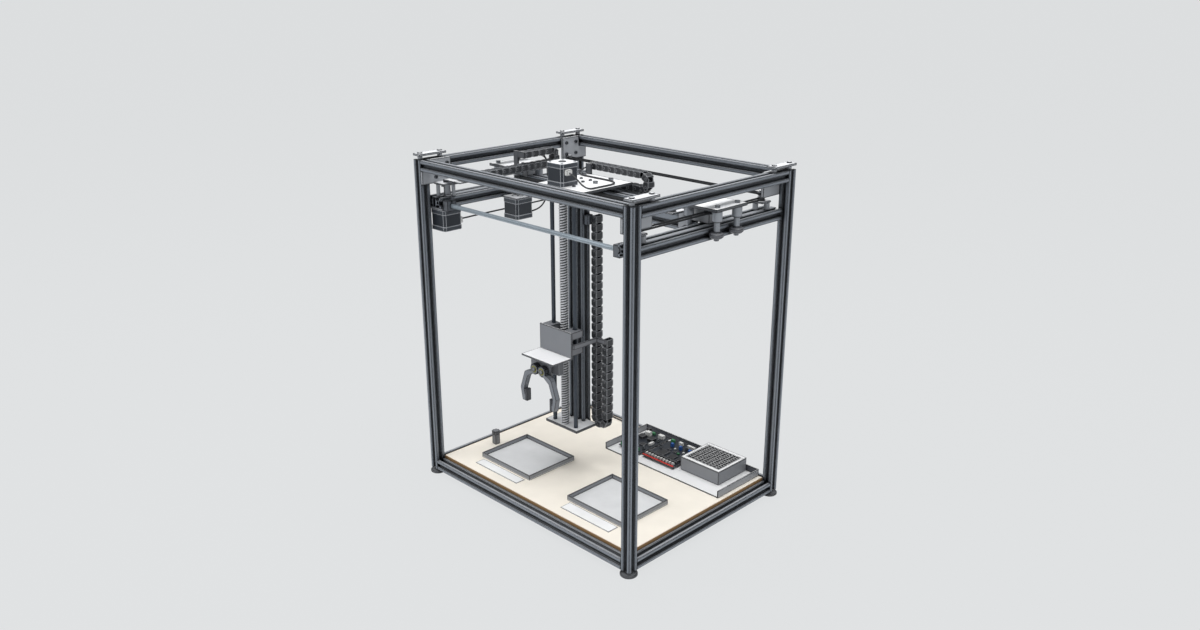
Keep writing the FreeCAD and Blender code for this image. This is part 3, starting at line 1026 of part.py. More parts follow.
X_MOTOR_CABLE = [(X_MOTOR_X, X_MOTOR_Y + MOTOR_SIDE / 2, X_MOTOR_FACE - 33.5), (X_MOTOR_X, 22, X_MOTOR_FACE - 33.5),
                 (X_MOTOR_X - 2, 44, X_MOTOR_FACE - 27.5), (X_MOTOR_X - 6, 60, X_MOTOR_FACE - 11.5),
                 (X_MOTOR_X - 7.5, 65, X_MOTOR_FACE + 12.5), (X_MOTOR_X - 7.5, 63.5, X_MOTOR_FACE + 40.5),
                 (X_MOTOR_X - 8, 62.5, X_MOTOR_FACE + 62.5), (X_MOTOR_X - 8, 48, X_MOTOR_FACE + 78.5),
                 (X_MOTOR_X - 9, 25, X_MOTOR_FACE + 82), (X_MOTOR_X - 8, 4, X_MOTOR_FACE + 81.5),
                 (X_MOTOR_X - 8, Y_CHAIN_END, X_MOTOR_FACE + 81.5)]
LOOM_X = Y_CHAIN_X + 9
X_CHAIN_LOOM = [(LOOM_X - 28.5, Y_CHAIN_END, Y_CHAIN_Z + 15), (LOOM_X - 28.5, 8, Y_CHAIN_Z + 14.5),
                (LOOM_X - 30, 34, Y_CHAIN_Z + 15.5), (LOOM_X - 29.5, 57, Y_CHAIN_Z + 12.5), (LOOM_X - 28, 71, X_CHAIN_Z + 13.5),
                (LOOM_X - 22, 74, X_CHAIN_Z - 7.5), (LOOM_X, 73, X_CHAIN_Z - 16.5),
                ((LOOM_X + X_CHAIN_FIXED - 25) / 2 + 0.5, 70, X_CHAIN_Z - 12.5), (X_CHAIN_FIXED - 25, 67.5, X_CHAIN_Z - 2.5),
                (X_CHAIN_FIXED, X_CHAIN_Y, X_CHAIN_Z)]
Z_CABLE_X = X_PLATE_RIGHT - 7
Z_CABLE_REST = X_PLATE_TOP + CABLE_RADIUS + RUNNING_GAP
Z_MOTOR_CABLE = [(COLUMN_X + MOTOR_SIDE / 2, -58.5, X_PLATE_TOP + 26), (COLUMN_X + 37, -58.5, X_PLATE_TOP + 24),
                 (Z_CABLE_X, -60, Z_CABLE_REST), (Z_CABLE_X, 28, Z_CABLE_REST), (X_CHAIN_END + 2, 28, Z_CABLE_REST),
                 (X_CHAIN_END - 11, 41.4, X_PLATE_TOP + 5), (X_CHAIN_END - 11, 56.2, X_PLATE_TOP + 10),
                 (X_CHAIN_END - 0.9, 66.3, X_CHAIN_Z + 2 * X_CHAIN_RADIUS)]

os.makedirs("parts", exist_ok=True)
frame_profiles()
feet()
corner_plates()
board_and_trays()
power_supply()
control_boards()
capped_block()
y_drive()
tie_rod()
bridge()
x_drive()
chains()
x_carriage()
lead_screw()
z_carriage()
save("y_motor_cable", cable(Y_MOTOR_CABLE, CABLE_RADIUS))
save("x_motor_cable", group([cable(X_MOTOR_CABLE, CABLE_RADIUS), cable(X_CHAIN_LOOM, CABLE_RADIUS)]))
save("z_motor_cable", cable(Z_MOTOR_CABLE, CABLE_RADIUS))
save("finger_left", finger(-1))
save("finger_right", finger(1))
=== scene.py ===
# %% [markdown]
# # A bench gantry robot, dressed
# The solids come from CAD and are already the right size. Blender adds what the eye
# looks for: metal with a grain, painted shade in the slots, screws, chain links, boards and cables.
# Lengths in the lists below are in millimetres, and one helper turns them into metres.

# %% Load the frame
import math

import bmesh
import bpy
from mathutils import Matrix, Vector


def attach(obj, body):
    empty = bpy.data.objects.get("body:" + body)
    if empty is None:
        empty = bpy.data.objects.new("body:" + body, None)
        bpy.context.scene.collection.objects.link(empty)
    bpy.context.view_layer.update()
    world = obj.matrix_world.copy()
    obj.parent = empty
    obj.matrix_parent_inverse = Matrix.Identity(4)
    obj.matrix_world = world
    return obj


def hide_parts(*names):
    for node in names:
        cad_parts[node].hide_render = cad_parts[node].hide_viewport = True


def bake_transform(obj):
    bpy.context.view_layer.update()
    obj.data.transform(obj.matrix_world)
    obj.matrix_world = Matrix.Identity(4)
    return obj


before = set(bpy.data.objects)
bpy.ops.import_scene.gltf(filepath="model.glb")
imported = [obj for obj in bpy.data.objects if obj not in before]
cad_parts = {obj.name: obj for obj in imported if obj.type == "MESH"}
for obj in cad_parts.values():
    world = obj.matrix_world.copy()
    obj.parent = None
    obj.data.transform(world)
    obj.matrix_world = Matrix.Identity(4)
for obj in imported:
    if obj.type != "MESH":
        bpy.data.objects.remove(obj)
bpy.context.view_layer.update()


def mm(*values):
    """A point or size given in millimetres, as a vector in metres."""
    return Vector([value / 1000 for value in values])


# %% [markdown]
# ## The camera
# The photograph was taken from the front right, a little above the machine. The way that
# the lines of the posts and beams run together in it gave the camera's direction and its
# lens, and the known width of the profiles gave its distance.

# %% Camera
AZIMUTH = math.radians(44.932)
ELEVATION = math.radians(19.093)
CAMERA_PLACE = (1285.77, -1289.204, 979.483)
SENSOR_WIDTH = 36.0
FOCAL_LENGTH_PIXELS = 1028.861
PHOTO_WIDTH_PIXELS = 1200.0
back = Vector((
    math.sin(AZIMUTH) * math.cos(ELEVATION),
    -math.cos(AZIMUTH) * math.cos(ELEVATION),
    math.sin(ELEVATION)))
camera_data = bpy.data.cameras.new("photo_camera")
camera_data.sensor_width = SENSOR_WIDTH
camera_data.lens = SENSOR_WIDTH * FOCAL_LENGTH_PIXELS / PHOTO_WIDTH_PIXELS
camera = bpy.data.objects.new("photo_camera", camera_data)
camera.location = mm(*CAMERA_PLACE)
camera.rotation_mode = "QUATERNION"
camera.rotation_quaternion = (-back).to_track_quat("-Z", "Y")
bpy.context.collection.objects.link(camera)
bpy.context.scene.camera = camera
bpy.context.scene.view_settings.view_transform = "Standard"
print("lens", round(camera_data.lens, 2), "mm")

# %% [markdown]
# ## Materials and their parts
# Every finish starts from one Principled shader. Its node tree is kept beside its name,
# so that later cells can put more nodes in front of the shader.

# %% New materials
shader_nodes = {}


def new_material(name, colour, roughness=0.5, metallic=0.0):
    """A material with a Principled shader, and the parts that most finishes need."""
    material = bpy.data.materials.new(name)
    material.use_nodes = True
    nodes = material.node_tree.nodes
    shader = nodes["Principled BSDF"]
    shader.inputs["Base Color"].default_value = (*colour, 1.0)
    shader.inputs["Roughness"].default_value = roughness
    shader.inputs["Metallic"].default_value = metallic
    place = nodes.new("ShaderNodeTexCoord")
    shader_nodes[name] = (nodes, material.node_tree.links, shader, place)
    return material


# %% [markdown]
# ## Floor
# A large pale floor takes the shadow below the feet. Lit alone it would end in a visible
# horizon, so for the camera it is mostly a plain glow in the colour of the world. The
# light that it throws back on the machine still comes from its own pale surface.

# %% Floor
BACKGROUND = (0.738, 0.752, 0.760)
FLOOR_REACH = 30.0
FLOOR_BELOW_FEET = 0.4
GLOW_SHARE = 0.955
floor_mesh = bmesh.new()
bmesh.ops.create_grid(floor_mesh, x_segments=1, y_segments=1, size=FLOOR_REACH)
bmesh.ops.translate(floor_mesh, vec=mm(0, 0, -FLOOR_BELOW_FEET), verts=floor_mesh.verts)
floor_data = bpy.data.meshes.new("floor")
floor_mesh.to_mesh(floor_data)
floor_mesh.free()
floor = bpy.data.objects.new("floor", floor_data)
bpy.context.collection.objects.link(floor)
pale_floor = new_material("pale_floor", (0.74, 0.75, 0.76), 0.9)
nodes, links, shader, place = shader_nodes["pale_floor"]
glow = nodes.new("ShaderNodeEmission")
glow.inputs["Color"].default_value = (*BACKGROUND, 1.0)
to_camera = nodes.new("ShaderNodeLightPath")
share = nodes.new("ShaderNodeMath")
share.operation = "MULTIPLY"
share.inputs[1].default_value = GLOW_SHARE
blend_floor = nodes.new("ShaderNodeMixShader")
links.new(to_camera.outputs["Is Camera Ray"], share.inputs[0])
links.new(share.outputs["Value"], blend_floor.inputs["Fac"])
links.new(shader.outputs["BSDF"], blend_floor.inputs[1])
links.new(glow.outputs["Emission"], blend_floor.inputs[2])
links.new(blend_floor.outputs["Shader"], nodes["Material Output"].inputs["Surface"])
floor_data.materials.append(pale_floor)
print("floor:", 2 * FLOOR_REACH, "m wide")

# %% [markdown]
# ## Light
# The light is soft and even, as in a product picture. A broad lamp overhead makes the
# level faces the brightest, and two weaker ones keep the left and right sides apart.
# Each lamp has its place in metres, its power in watts and its width in metres.

# %% Lamps
LAMP_AIM = Vector((0, 0, 0.3))
LAMPS = {
    "key_lamp": ((-1.6, -2.4, 2.6), 34.0, 1.8),
    "side_lamp": ((3.0, -0.4, 1.6), 9.0, 1.5),
    "top_lamp": ((0.1, 0.1, 3.4), 100.0, 2.4),
}
for name, (position, power, size) in LAMPS.items():
    lamp_data = bpy.data.lights.new(name, "AREA")
    lamp_data.energy = power
    lamp_data.size = size
    lamp = bpy.data.objects.new(name, lamp_data)
    lamp.location = position
    lamp.rotation_mode = "QUATERNION"
    lamp.rotation_quaternion = (LAMP_AIM - Vector(position)).to_track_quat("-Z", "Y")
    bpy.context.collection.objects.link(lamp)
print("lamps:", len(LAMPS))

# %% [markdown]
# ## World
# The world lights the machine from all sides. The camera sees another, plain colour,
# the same as the floor's glow, so that the machine stands in one even tone.

# %% World
world = bpy.data.worlds.new("pale_room")
bpy.context.scene.world = world
world.use_nodes = True
world_nodes = world.node_tree.nodes
world_links = world.node_tree.links
background = world_nodes["Background"]
background.inputs["Color"].default_value = (0.8, 0.82, 0.84, 1.0)
background.inputs["Strength"].default_value = 0.5
seen = world_nodes.new("ShaderNodeBackground")
seen.inputs["Color"].default_value = (*BACKGROUND, 1.0)
seen.inputs["Strength"].default_value = 1.0
path = world_nodes.new("ShaderNodeLightPath")
mix = world_nodes.new("ShaderNodeMixShader")
world_links.new(path.outputs["Is Camera Ray"], mix.inputs["Fac"])
world_links.new(background.outputs["Background"], mix.inputs[1])
world_links.new(seen.outputs["Background"], mix.inputs[2])
world_links.new(mix.outputs["Shader"], world_nodes["World Output"].inputs["Surface"])
print("world:", world.name)

# %% [markdown]
# ## Effects that many finishes share
# Four node groups are built once and placed in each material with its own values. A
# group is a better home for them than a copy in every material: one change reaches all.


# %% New groups
def new_group(name, inputs, outputs):
    """An empty shader node group with named sockets."""
    group = bpy.data.node_groups.new(name, "ShaderNodeTree")
    for label, kind, value in inputs:
        socket = group.interface.new_socket(label, in_out="INPUT", socket_type=kind)
        socket.default_value = value
    for label, kind in outputs:
        group.interface.new_socket(label, in_out="OUTPUT", socket_type=kind)
    start = group.nodes.new("NodeGroupInput")
    end = group.nodes.new("NodeGroupOutput")
    return group, start, end


# %% [markdown]
# ### Cloudy tone
# No real surface has quite the same colour all over. A soft noise darkens the colour a
# little in patches some centimetres wide, which keeps large faces from looking flat.


# %% Cloudy tone
def cloudy_tone():
    """A colour that drifts a little lighter and darker over some centimetres."""
    group, start, end = new_group(
        "cloudy_tone",
        [("Vector", "NodeSocketVector", (0, 0, 0)), ("Color", "NodeSocketColor", (0.5, 0.5, 0.5, 1)),
         ("Scale", "NodeSocketFloat", 20.0), ("Amount", "NodeSocketFloat", 0.1)],
        [("Color", "NodeSocketColor"), ("Cloud", "NodeSocketFloat")])
    noise = group.nodes.new("ShaderNodeTexNoise")
    noise.inputs["Detail"].default_value = 4.0
    spread = group.nodes.new("ShaderNodeMapRange")
    spread.inputs["From Min"].default_value = 0.3
    spread.inputs["From Max"].default_value = 0.7
    low = group.nodes.new("ShaderNodeMath")
    low.operation = "SUBTRACT"
    low.inputs[0].default_value = 1.0
    paint = group.nodes.new("ShaderNodeMix")
    paint.data_type = "RGBA"
    paint.blend_type = "MULTIPLY"
    paint.inputs["Factor"].default_value = 1.0
    grey = group.nodes.new("ShaderNodeCombineColor")
    links = group.links
    links.new(start.outputs["Vector"], noise.inputs["Vector"])
    links.new(start.outputs["Scale"], noise.inputs["Scale"])
    links.new(noise.outputs["Fac"], spread.inputs["Value"])
    links.new(start.outputs["Amount"], low.inputs[1])
    links.new(low.outputs["Value"], spread.inputs["To Min"])
    for channel in ("Red", "Green", "Blue"):
        links.new(spread.outputs["Result"], grey.inputs[channel])
    links.new(start.outputs["Color"], paint.inputs["A"])
    links.new(grey.outputs["Color"], paint.inputs["B"])
    links.new(paint.outputs["Result"], end.inputs["Color"])
    links.new(spread.outputs["Result"], end.inputs["Cloud"])
    return group


CLOUD = cloudy_tone()
print("group:", CLOUD.name)

# %% [markdown]
# ### Drawn grain
# Profiles and rods are pulled through a die, which leaves fine streaks along them. The
# same noise is squeezed along one axis, so its dots become streaks in that direction.


# %% Drawn grain
def drawn_grain():
    """Long thin streaks: noise squeezed across the direction that the metal was drawn in."""
    group, start, end = new_group(
        "drawn_grain",
        [("Vector", "NodeSocketVector", (0, 0, 0)), ("Stretch", "NodeSocketVector", (1, 1, 0.02)),
         ("Scale", "NodeSocketFloat", 900.0)],
        [("Height", "NodeSocketFloat")])
    squeeze = group.nodes.new("ShaderNodeVectorMath")
    squeeze.operation = "MULTIPLY"
    noise = group.nodes.new("ShaderNodeTexNoise")
    noise.inputs["Detail"].default_value = 3.0
    group.links.new(start.outputs["Vector"], squeeze.inputs[0])
    group.links.new(start.outputs["Stretch"], squeeze.inputs[1])
    group.links.new(squeeze.outputs["Vector"], noise.inputs["Vector"])
    group.links.new(start.outputs["Scale"], noise.inputs["Scale"])
    group.links.new(noise.outputs["Fac"], end.inputs["Height"])
    return group


GRAIN = drawn_grain()
print("group:", GRAIN.name)

# %% [markdown]
# ### Moulded specks
# Moulded plastic copies the pebbled wall of its mould. Voronoi cells give that skin.


# %% Moulded specks
def moulded_specks():
    """The fine pebbled skin of moulded plastic."""
    group, start, end = new_group(
        "moulded_specks",
        [("Vector", "NodeSocketVector", (0, 0, 0)), ("Scale", "NodeSocketFloat", 1500.0)],
        [("Height", "NodeSocketFloat")])
    cells = group.nodes.new("ShaderNodeTexVoronoi")
    group.links.new(start.outputs["Vector"], cells.inputs["Vector"])
    group.links.new(start.outputs["Scale"], cells.inputs["Scale"])
    group.links.new(cells.outputs["Distance"], end.inputs["Height"])
    return group


SPECKS = moulded_specks()
print("group:", SPECKS.name)

# %% [markdown]
# ### Edge lines
# The picture shows the machine with drawn outlines: dark on pale plates, pale on dark
# motors. They could be traced as curves, but there are thousands of edges. A Bevel node
# gives the normal of a rounded edge, and where that leaves the true normal there is an
# edge, so a line is painted there.


# %% Edge lines
def edge_line():
    """Lines along a part's edges, found where a rounded normal leaves the true one."""
    group, start, end = new_group(
        "edge_line",
        [("Color", "NodeSocketColor", (0.5, 0.5, 0.5, 1)),
         ("Line Color", "NodeSocketColor", (0.01, 0.01, 0.012, 1)),
         ("Amount", "NodeSocketFloat", 0.85), ("Radius", "NodeSocketFloat", 0.0015)],
        [("Color", "NodeSocketColor"), ("Line", "NodeSocketFloat")])
    rounded = group.nodes.new("ShaderNodeBevel")
    rounded.samples = 6
    true_normal = group.nodes.new("ShaderNodeNewGeometry")
    agree = group.nodes.new("ShaderNodeVectorMath")
    agree.operation = "DOT_PRODUCT"
    line = group.nodes.new("ShaderNodeMapRange")
    line.inputs["From Min"].default_value = 0.998
    line.inputs["From Max"].default_value = 0.972
    strength = group.nodes.new("ShaderNodeMath")
    strength.operation = "MULTIPLY"
    draw = group.nodes.new("ShaderNodeMix")
    draw.data_type = "RGBA"
    links = group.links
    links.new(start.outputs["Radius"], rounded.inputs["Radius"])
    links.new(rounded.outputs["Normal"], agree.inputs[0])
    links.new(true_normal.outputs["True Normal"], agree.inputs[1])
    links.new(agree.outputs["Value"], line.inputs["Value"])
    links.new(line.outputs["Result"], strength.inputs[0])
    links.new(start.outputs["Amount"], strength.inputs[1])
    links.new(strength.outputs["Value"], draw.inputs["Factor"])
    links.new(start.outputs["Color"], draw.inputs["A"])
    links.new(start.outputs["Line Color"], draw.inputs["B"])
    links.new(draw.outputs["Result"], end.inputs["Color"])
    links.new(strength.outputs["Value"], end.inputs["Line"])
    return group


EDGES = edge_line()
print("groups:", [group.name for group in bpy.data.node_groups])

# %% [markdown]
# ## Colour helpers
# A finish is built in steps: a cloudy tone, then other colours for level faces, which are painted light, or
# for the ends of a part, then painted shade in the slots, and last the edge lines. Each helper takes
# the colour so far and gives back the next one.


# %% Colour helpers
# Near black for the edge lines, and for painted shade in the slots and thread roots.
LINE_AND_SHADE_BLACK = (0.008, 0.009, 0.011, 1)
PALE_LINE = (0.55, 0.57, 0.60, 1)


def place_group(name, group, values):
    """Puts a shared group in a material, on Object coordinates where it has a Vector."""
    nodes, links, shader, place = shader_nodes[name]
    node = nodes.new("ShaderNodeGroup")
    node.node_tree = group
    if "Vector" in node.inputs:
        links.new(place.outputs["Object"], node.inputs["Vector"])
    for label, value in values.items():
        node.inputs[label].default_value = value
    return node


def paint_levels(name, lower, upper, level, source):
    """Two colours split at a height in millimetres: lower below it, upper above it."""
    nodes, links, shader, place = shader_nodes[name]
    axes = nodes.new("ShaderNodeSeparateXYZ")
    above = nodes.new("ShaderNodeMath")
    above.operation = "GREATER_THAN"
    above.inputs[1].default_value = level / 1000
    choose = nodes.new("ShaderNodeMix")
    choose.data_type = "RGBA"
    choose.inputs["A"].default_value = (*lower, 1)
    choose.inputs["B"].default_value = (*upper, 1)
    links.new(place.outputs["Object"], axes.inputs["Vector"])
    links.new(axes.outputs["Z"], above.inputs[0])
    links.new(above.outputs["Value"], choose.inputs["Factor"])
    links.new(choose.outputs["Result"], source.inputs["Color"])


def draw_edges(name, source, line=LINE_AND_SHADE_BLACK, amount=0.9, width=1.6):
    """Puts the edge lines, width millimetres wide, between a colour and the shader."""
    nodes, links, shader, place = shader_nodes[name]
    edges = place_group(name, EDGES, {"Line Color": line, "Amount": amount, "Radius": width / 1000})
    links.new(source, edges.inputs["Color"])
    links.new(edges.outputs["Color"], shader.inputs["Base Color"])


def pick_colour(name, under, over, axis, level, softness, kind="Normal"):
    """Two colours, under and over, split where one part of a normal or a place passes a level.

    Along X both ends of a part count, so there the sign is dropped.
    """
    nodes, links, shader, place = shader_nodes[name]
    source = nodes.new("ShaderNodeNewGeometry") if kind == "Normal" else place
    axes = nodes.new("ShaderNodeSeparateXYZ")
    links.new(source.outputs[kind], axes.inputs["Vector"])
    measure = axes.outputs[axis]
    if axis == "X":
        unsigned = nodes.new("ShaderNodeMath")
        unsigned.operation = "ABSOLUTE"
        links.new(measure, unsigned.inputs[0])
        measure = unsigned.outputs["Value"]
    ramp = nodes.new("ShaderNodeMapRange")
    ramp.inputs["From Min"].default_value = level - softness
    ramp.inputs["From Max"].default_value = level + softness
    choose = nodes.new("ShaderNodeMix")
    choose.data_type = "RGBA"
    choose.inputs["B"].default_value = (*over, 1)
    links.new(measure, ramp.inputs["Value"])
    links.new(ramp.outputs["Result"], choose.inputs["Factor"])
    if isinstance(under, tuple):
        choose.inputs["A"].default_value = (*under, 1)
    else:
        links.new(under, choose.inputs["A"])
    return choose.outputs["Result"]


def shade_slots(name, source, depth_of_black):
    """Lets the colour fall into black where the walls of a groove hide the light."""
    nodes, links, shader, place = shader_nodes[name]
    hidden = nodes.new("ShaderNodeAmbientOcclusion")
    hidden.samples = 6
    hidden.inputs["Distance"].default_value = 0.010
    depth = nodes.new("ShaderNodeMapRange")
    depth.inputs["From Min"].default_value = 0.92
    depth.inputs["From Max"].default_value = 0.62
    depth.inputs["To Max"].default_value = depth_of_black
    shade = nodes.new("ShaderNodeMix")
    shade.data_type = "RGBA"
    shade.inputs["B"].default_value = LINE_AND_SHADE_BLACK
    links.new(hidden.outputs["AO"], depth.inputs["Value"])
    links.new(depth.outputs["Result"], shade.inputs["Factor"])
    links.new(source, shade.inputs["A"])
    return shade.outputs["Result"]


# %% [markdown]
# ## Metal
# Most of the machine is anodised profile and milled plate. Under even light a metal's
# level faces are far brighter than its sides, so they get a paler colour of their own: painted light. The
# roughness and a very low bump follow the drawn grain, so highlights break into streaks.


# %% Metal builder
LIT_LEVEL_FACE = ("Z", 0.7, 0.2)
TIE_ROD_END = ("X", 0.2105, 0.0001, "Object")


def metal(name, colour, roughness, stretch=(1, 1, 1), metallic=0.45, grain=0.0004, slots=0.0,
          line=LINE_AND_SHADE_BLACK, amount=0.92, top=None, ends=None, width=3.2):
    """Drawn or milled metal. top is a paler colour for level faces, painted light; slots is how black
    painted shade turns its grooves.
    """
    material = new_material(name, colour, roughness, metallic)
    nodes, links, shader, place = shader_nodes[name]
    tone = place_group(name, CLOUD, {"Color": (*colour, 1), "Scale": 14.0, "Amount": 0.12})
    colour_out = tone.outputs["Color"]
    # Painted light: level faces take the paler top colour.
    if top:
        colour_out = pick_colour(name, colour_out, top, *LIT_LEVEL_FACE)
    if ends:
        colour_out = pick_colour(name, colour_out, ends, *TIE_ROD_END)
    # Painted shade: the slots fall towards black where ambient occlusion finds them hidden.
    if slots:
        colour_out = shade_slots(name, colour_out, slots)
    draw_edges(name, colour_out, line, amount, width)
    streaks = place_group(name, GRAIN, {"Stretch": stretch, "Scale": 700.0})
    rough = nodes.new("ShaderNodeMapRange")
    rough.inputs["To Min"].default_value = roughness - 0.08
    rough.inputs["To Max"].default_value = roughness + 0.1
    links.new(streaks.outputs["Height"], rough.inputs["Value"])
    links.new(rough.outputs["Result"], shader.inputs["Roughness"])
    bump = nodes.new("ShaderNodeBump")
    bump.inputs["Strength"].default_value = 0.12
    bump.inputs["Distance"].default_value = grain
    links.new(streaks.outputs["Height"], bump.inputs["Height"])
    links.new(bump.outputs["Normal"], shader.inputs["Normal"])
    return material


# %% [markdown]
# ## Plastic, paint and rubber
# These have no grain, but a pebbled skin. Trays and the base board have one colour
# below a height and another above it. On the board this is its brown edge below a cream face; on the trays
# it is painted light, a pale floor below darker walls, and the white tray's front faces get painted shade.


# %% Plastic builder
SHADED_FRONT_FACE = ("Y", -0.6, 0.1)


def paint_front_shade(name, tone, front, colour, lit_level_colour):
    """Paints shade on the faces that look to the front, and paints light on level faces in their own pale
    colour.
    """
    nodes, links, shader, place = shader_nodes[name]
    facing = pick_colour(name, front, colour, *SHADED_FRONT_FACE)
    keep = nodes.new("ShaderNodeMix")
    keep.data_type = "RGBA"
    keep.blend_type = "DARKEN"
    keep.inputs["Factor"].default_value = 1.0
    links.new(tone.outputs["Color"], keep.inputs["A"])
    links.new(facing, keep.inputs["B"])
    return pick_colour(name, keep.outputs["Result"], lit_level_colour, *LIT_LEVEL_FACE)


def plastic(name, colour, roughness=0.5, cloud=0.1, specks=0.15, scale=1500.0, line=LINE_AND_SHADE_BLACK,
            amount=0.9, levels=None, front=None, width=3.0):
    """Moulded plastic, paint or rubber. levels is a lower colour and the height where it ends, painted light
    on the tray floors; front is a colour of painted shade for faces that look to the front.
    """
    material = new_material(name, colour, roughness)
    nodes, links, shader, place = shader_nodes[name]
    tone = place_group(name, CLOUD, {"Color": (*colour, 1), "Scale": 25.0, "Amount": cloud})
    if levels:
        paint_levels(name, levels[0], colour, levels[1], tone)
    colour_out = tone.outputs["Color"]
    # Painted shade on faces that look to the front, and painted light on level faces.
    if front:
        colour_out = paint_front_shade(name, tone, front, colour, levels[0])
    draw_edges(name, colour_out, line, amount, width)
    rough = nodes.new("ShaderNodeMapRange")
    rough.inputs["To Min"].default_value = roughness - 0.06
    rough.inputs["To Max"].default_value = roughness + 0.06
    links.new(tone.outputs["Cloud"], rough.inputs["Value"])
    links.new(rough.outputs["Result"], shader.inputs["Roughness"])
    skin = place_group(name, SPECKS, {"Scale": scale})
    bump = nodes.new("ShaderNodeBump")
    bump.inputs["Strength"].default_value = specks
    bump.inputs["Distance"].default_value = 0.0001
    links.new(skin.outputs["Height"], bump.inputs["Height"])
    links.new(bump.outputs["Normal"], shader.inputs["Normal"])
    return material


# %% [markdown]
# ## The finishes of this machine
# The colours were set against the picture, in linear values. The width of the
# edge lines is smaller on the profiles and chains, whose faces are only a few
# millimetres wide.

# %% Metals
ALONG_X = (0.02, 1, 1)
ALONG_Z = (1, 1, 0.02)
ALONG_X_AND_Y = (0.05, 0.05, 1)
# The top colours are painted light on level faces, and slots sets painted shade in the profiles' grooves.
profile_upright = metal("anodised_upright", (0.25, 0.275, 0.31), 0.42, ALONG_Z, slots=0.97, width=2.2)
profile_level = metal("anodised_level", (0.27, 0.295, 0.33), 0.42, ALONG_X_AND_Y, slots=0.97,
                      top=(0.44, 0.46, 0.49), width=2.2)
plate_metal = metal("milled_plate", (0.40, 0.41, 0.43), 0.45, metallic=0.1, top=(0.86, 0.87, 0.88))
thin_plate = metal("thin_plate", (0.10, 0.105, 0.115), 0.45, metallic=0.1, top=(0.88, 0.885, 0.89))
bracket_metal = metal("pressed_bracket", (0.40, 0.415, 0.44), 0.42, metallic=0.15, top=(0.78, 0.79, 0.81))
rod_steel = metal("ground_rod", (0.055, 0.068, 0.085), 0.25, ALONG_Z, 0.5, 0.0001)
tie_steel = metal("tie_rod_steel", (0.36, 0.42, 0.47), 0.3, ALONG_X, 0.5, 0.0001,
                  ends=(0.13, 0.14, 0.155))
screw_steel = metal("screw_thread", (0.60, 0.61, 0.63), 0.35, (1, 1, 1), 0.2, amount=0.0)
axle_steel = metal("turned_axle", (0.38, 0.40, 0.43), 0.3, ALONG_Z, 0.5)
pulley_metal = metal("turned_pulley", (0.45, 0.46, 0.48), 0.32)
gripper_metal = metal("gripper_plate_finish", (0.24, 0.25, 0.27), 0.45, (0.05, 1, 1), 0.1,
                      top=(0.92, 0.92, 0.93))
finger_metal = metal("finger_finish", (0.22, 0.235, 0.26), 0.4, (1, 1, 1), 0.2, width=2.6)
case_metal = metal("case_sheet", (0.27, 0.28, 0.30), 0.45, ALONG_X, 0.1, top=(0.88, 0.88, 0.88))
brass = metal("worn_brass", (0.30, 0.285, 0.045), 0.4, (1, 1, 1), 0.5, amount=0.4)
fastener = metal("fastener_steel", (0.34, 0.36, 0.39), 0.3, (1, 1, 1), 0.6)
dark_fastener = metal("blackened_screw", (0.07, 0.075, 0.085), 0.35, (1, 1, 1), 0.6,
                      line=PALE_LINE, amount=0.6)
print("metals:", len(shader_nodes) - 1)

# %% Plastics and paints
chain_black = plastic("chain_black", (0.028, 0.030, 0.034), 0.42, line=(0.34, 0.35, 0.37, 1), amount=0.9,
                      width=1.1)
belt_black = plastic("belt_rubber_skin", (0.028, 0.029, 0.032), 0.6)
wheel_black = plastic("wheel_black", (0.16, 0.165, 0.18), 0.4)
foot_black = plastic("foot_rubber", (0.16, 0.165, 0.175), 0.6)
board_cream = plastic("cream_board", (0.92, 0.86, 0.76), 0.55, 0.05, 0.2, 700.0, (0.35, 0.2, 0.08, 1), 0.6,
                      ((0.36, 0.21, 0.09), 34.0))
# On the trays the pale floor under darker walls is painted light, and the white tray's dark front is painted
# shade.
tray_grey = plastic("tray_grey", (0.27, 0.28, 0.30), 0.5, levels=((0.74, 0.745, 0.75), 36.6))
tray_white = plastic("tray_white", (0.34, 0.35, 0.37), 0.45, levels=((0.82, 0.82, 0.82), 36.6),
                     front=(0.07, 0.075, 0.09))
bearing_grey = plastic("bearing_grey", (0.19, 0.195, 0.21), 0.45)
servo_dark = plastic("servo_case", (0.10, 0.105, 0.115), 0.4, line=PALE_LINE, amount=0.5, width=1.2)
cap_grey = plastic("cap_grey", (0.20, 0.205, 0.22), 0.5)
pad_grey = plastic("finger_pad", (0.09, 0.095, 0.105), 0.65, 0.1, 0.4, 900.0)
circuit_dark = plastic("circuit_board_skin", (0.018, 0.022, 0.030), 0.35, line=(0.2, 0.2, 0.2, 1),
                       amount=0.5, width=1.2)
terminal_green = plastic("terminal_green", (0.05, 0.24, 0.10), 0.4, width=1.2)
terminal_white = plastic("terminal_white", (0.74, 0.74, 0.72), 0.4, width=1.4)
connector_blue = plastic("connector_blue", (0.03, 0.12, 0.42), 0.35, width=1.0)
chip_black = plastic("chip_black", (0.02, 0.02, 0.022), 0.3, line=(0.3, 0.3, 0.32, 1), amount=0.6,
                     width=1.2)
strip_red = plastic("strip_red", (0.62, 0.03, 0.02), 0.4, amount=0.0)
label_white = plastic("label_plate", (0.93, 0.93, 0.93), 0.4)
cable_black = plastic("cable_black", (0.025, 0.025, 0.028), 0.5, amount=0.0)
cable_brown = plastic("cable_brown", (0.16, 0.13, 0.11), 0.5, amount=0.0)
print("metals and plastics:", len(shader_nodes) - 1)

# %% [markdown]
# ## Thread roots
# Painted shade darkens the roots between the threads of the lead screw. The distance from the
# screw's axis tells crest from root, so the colour is mixed by that distance.


# %% Thread roots
SCREW_AXIS = (-45, -50)
DARKEST_RADIUS, BRIGHT_RADIUS = 6.7, 7.5


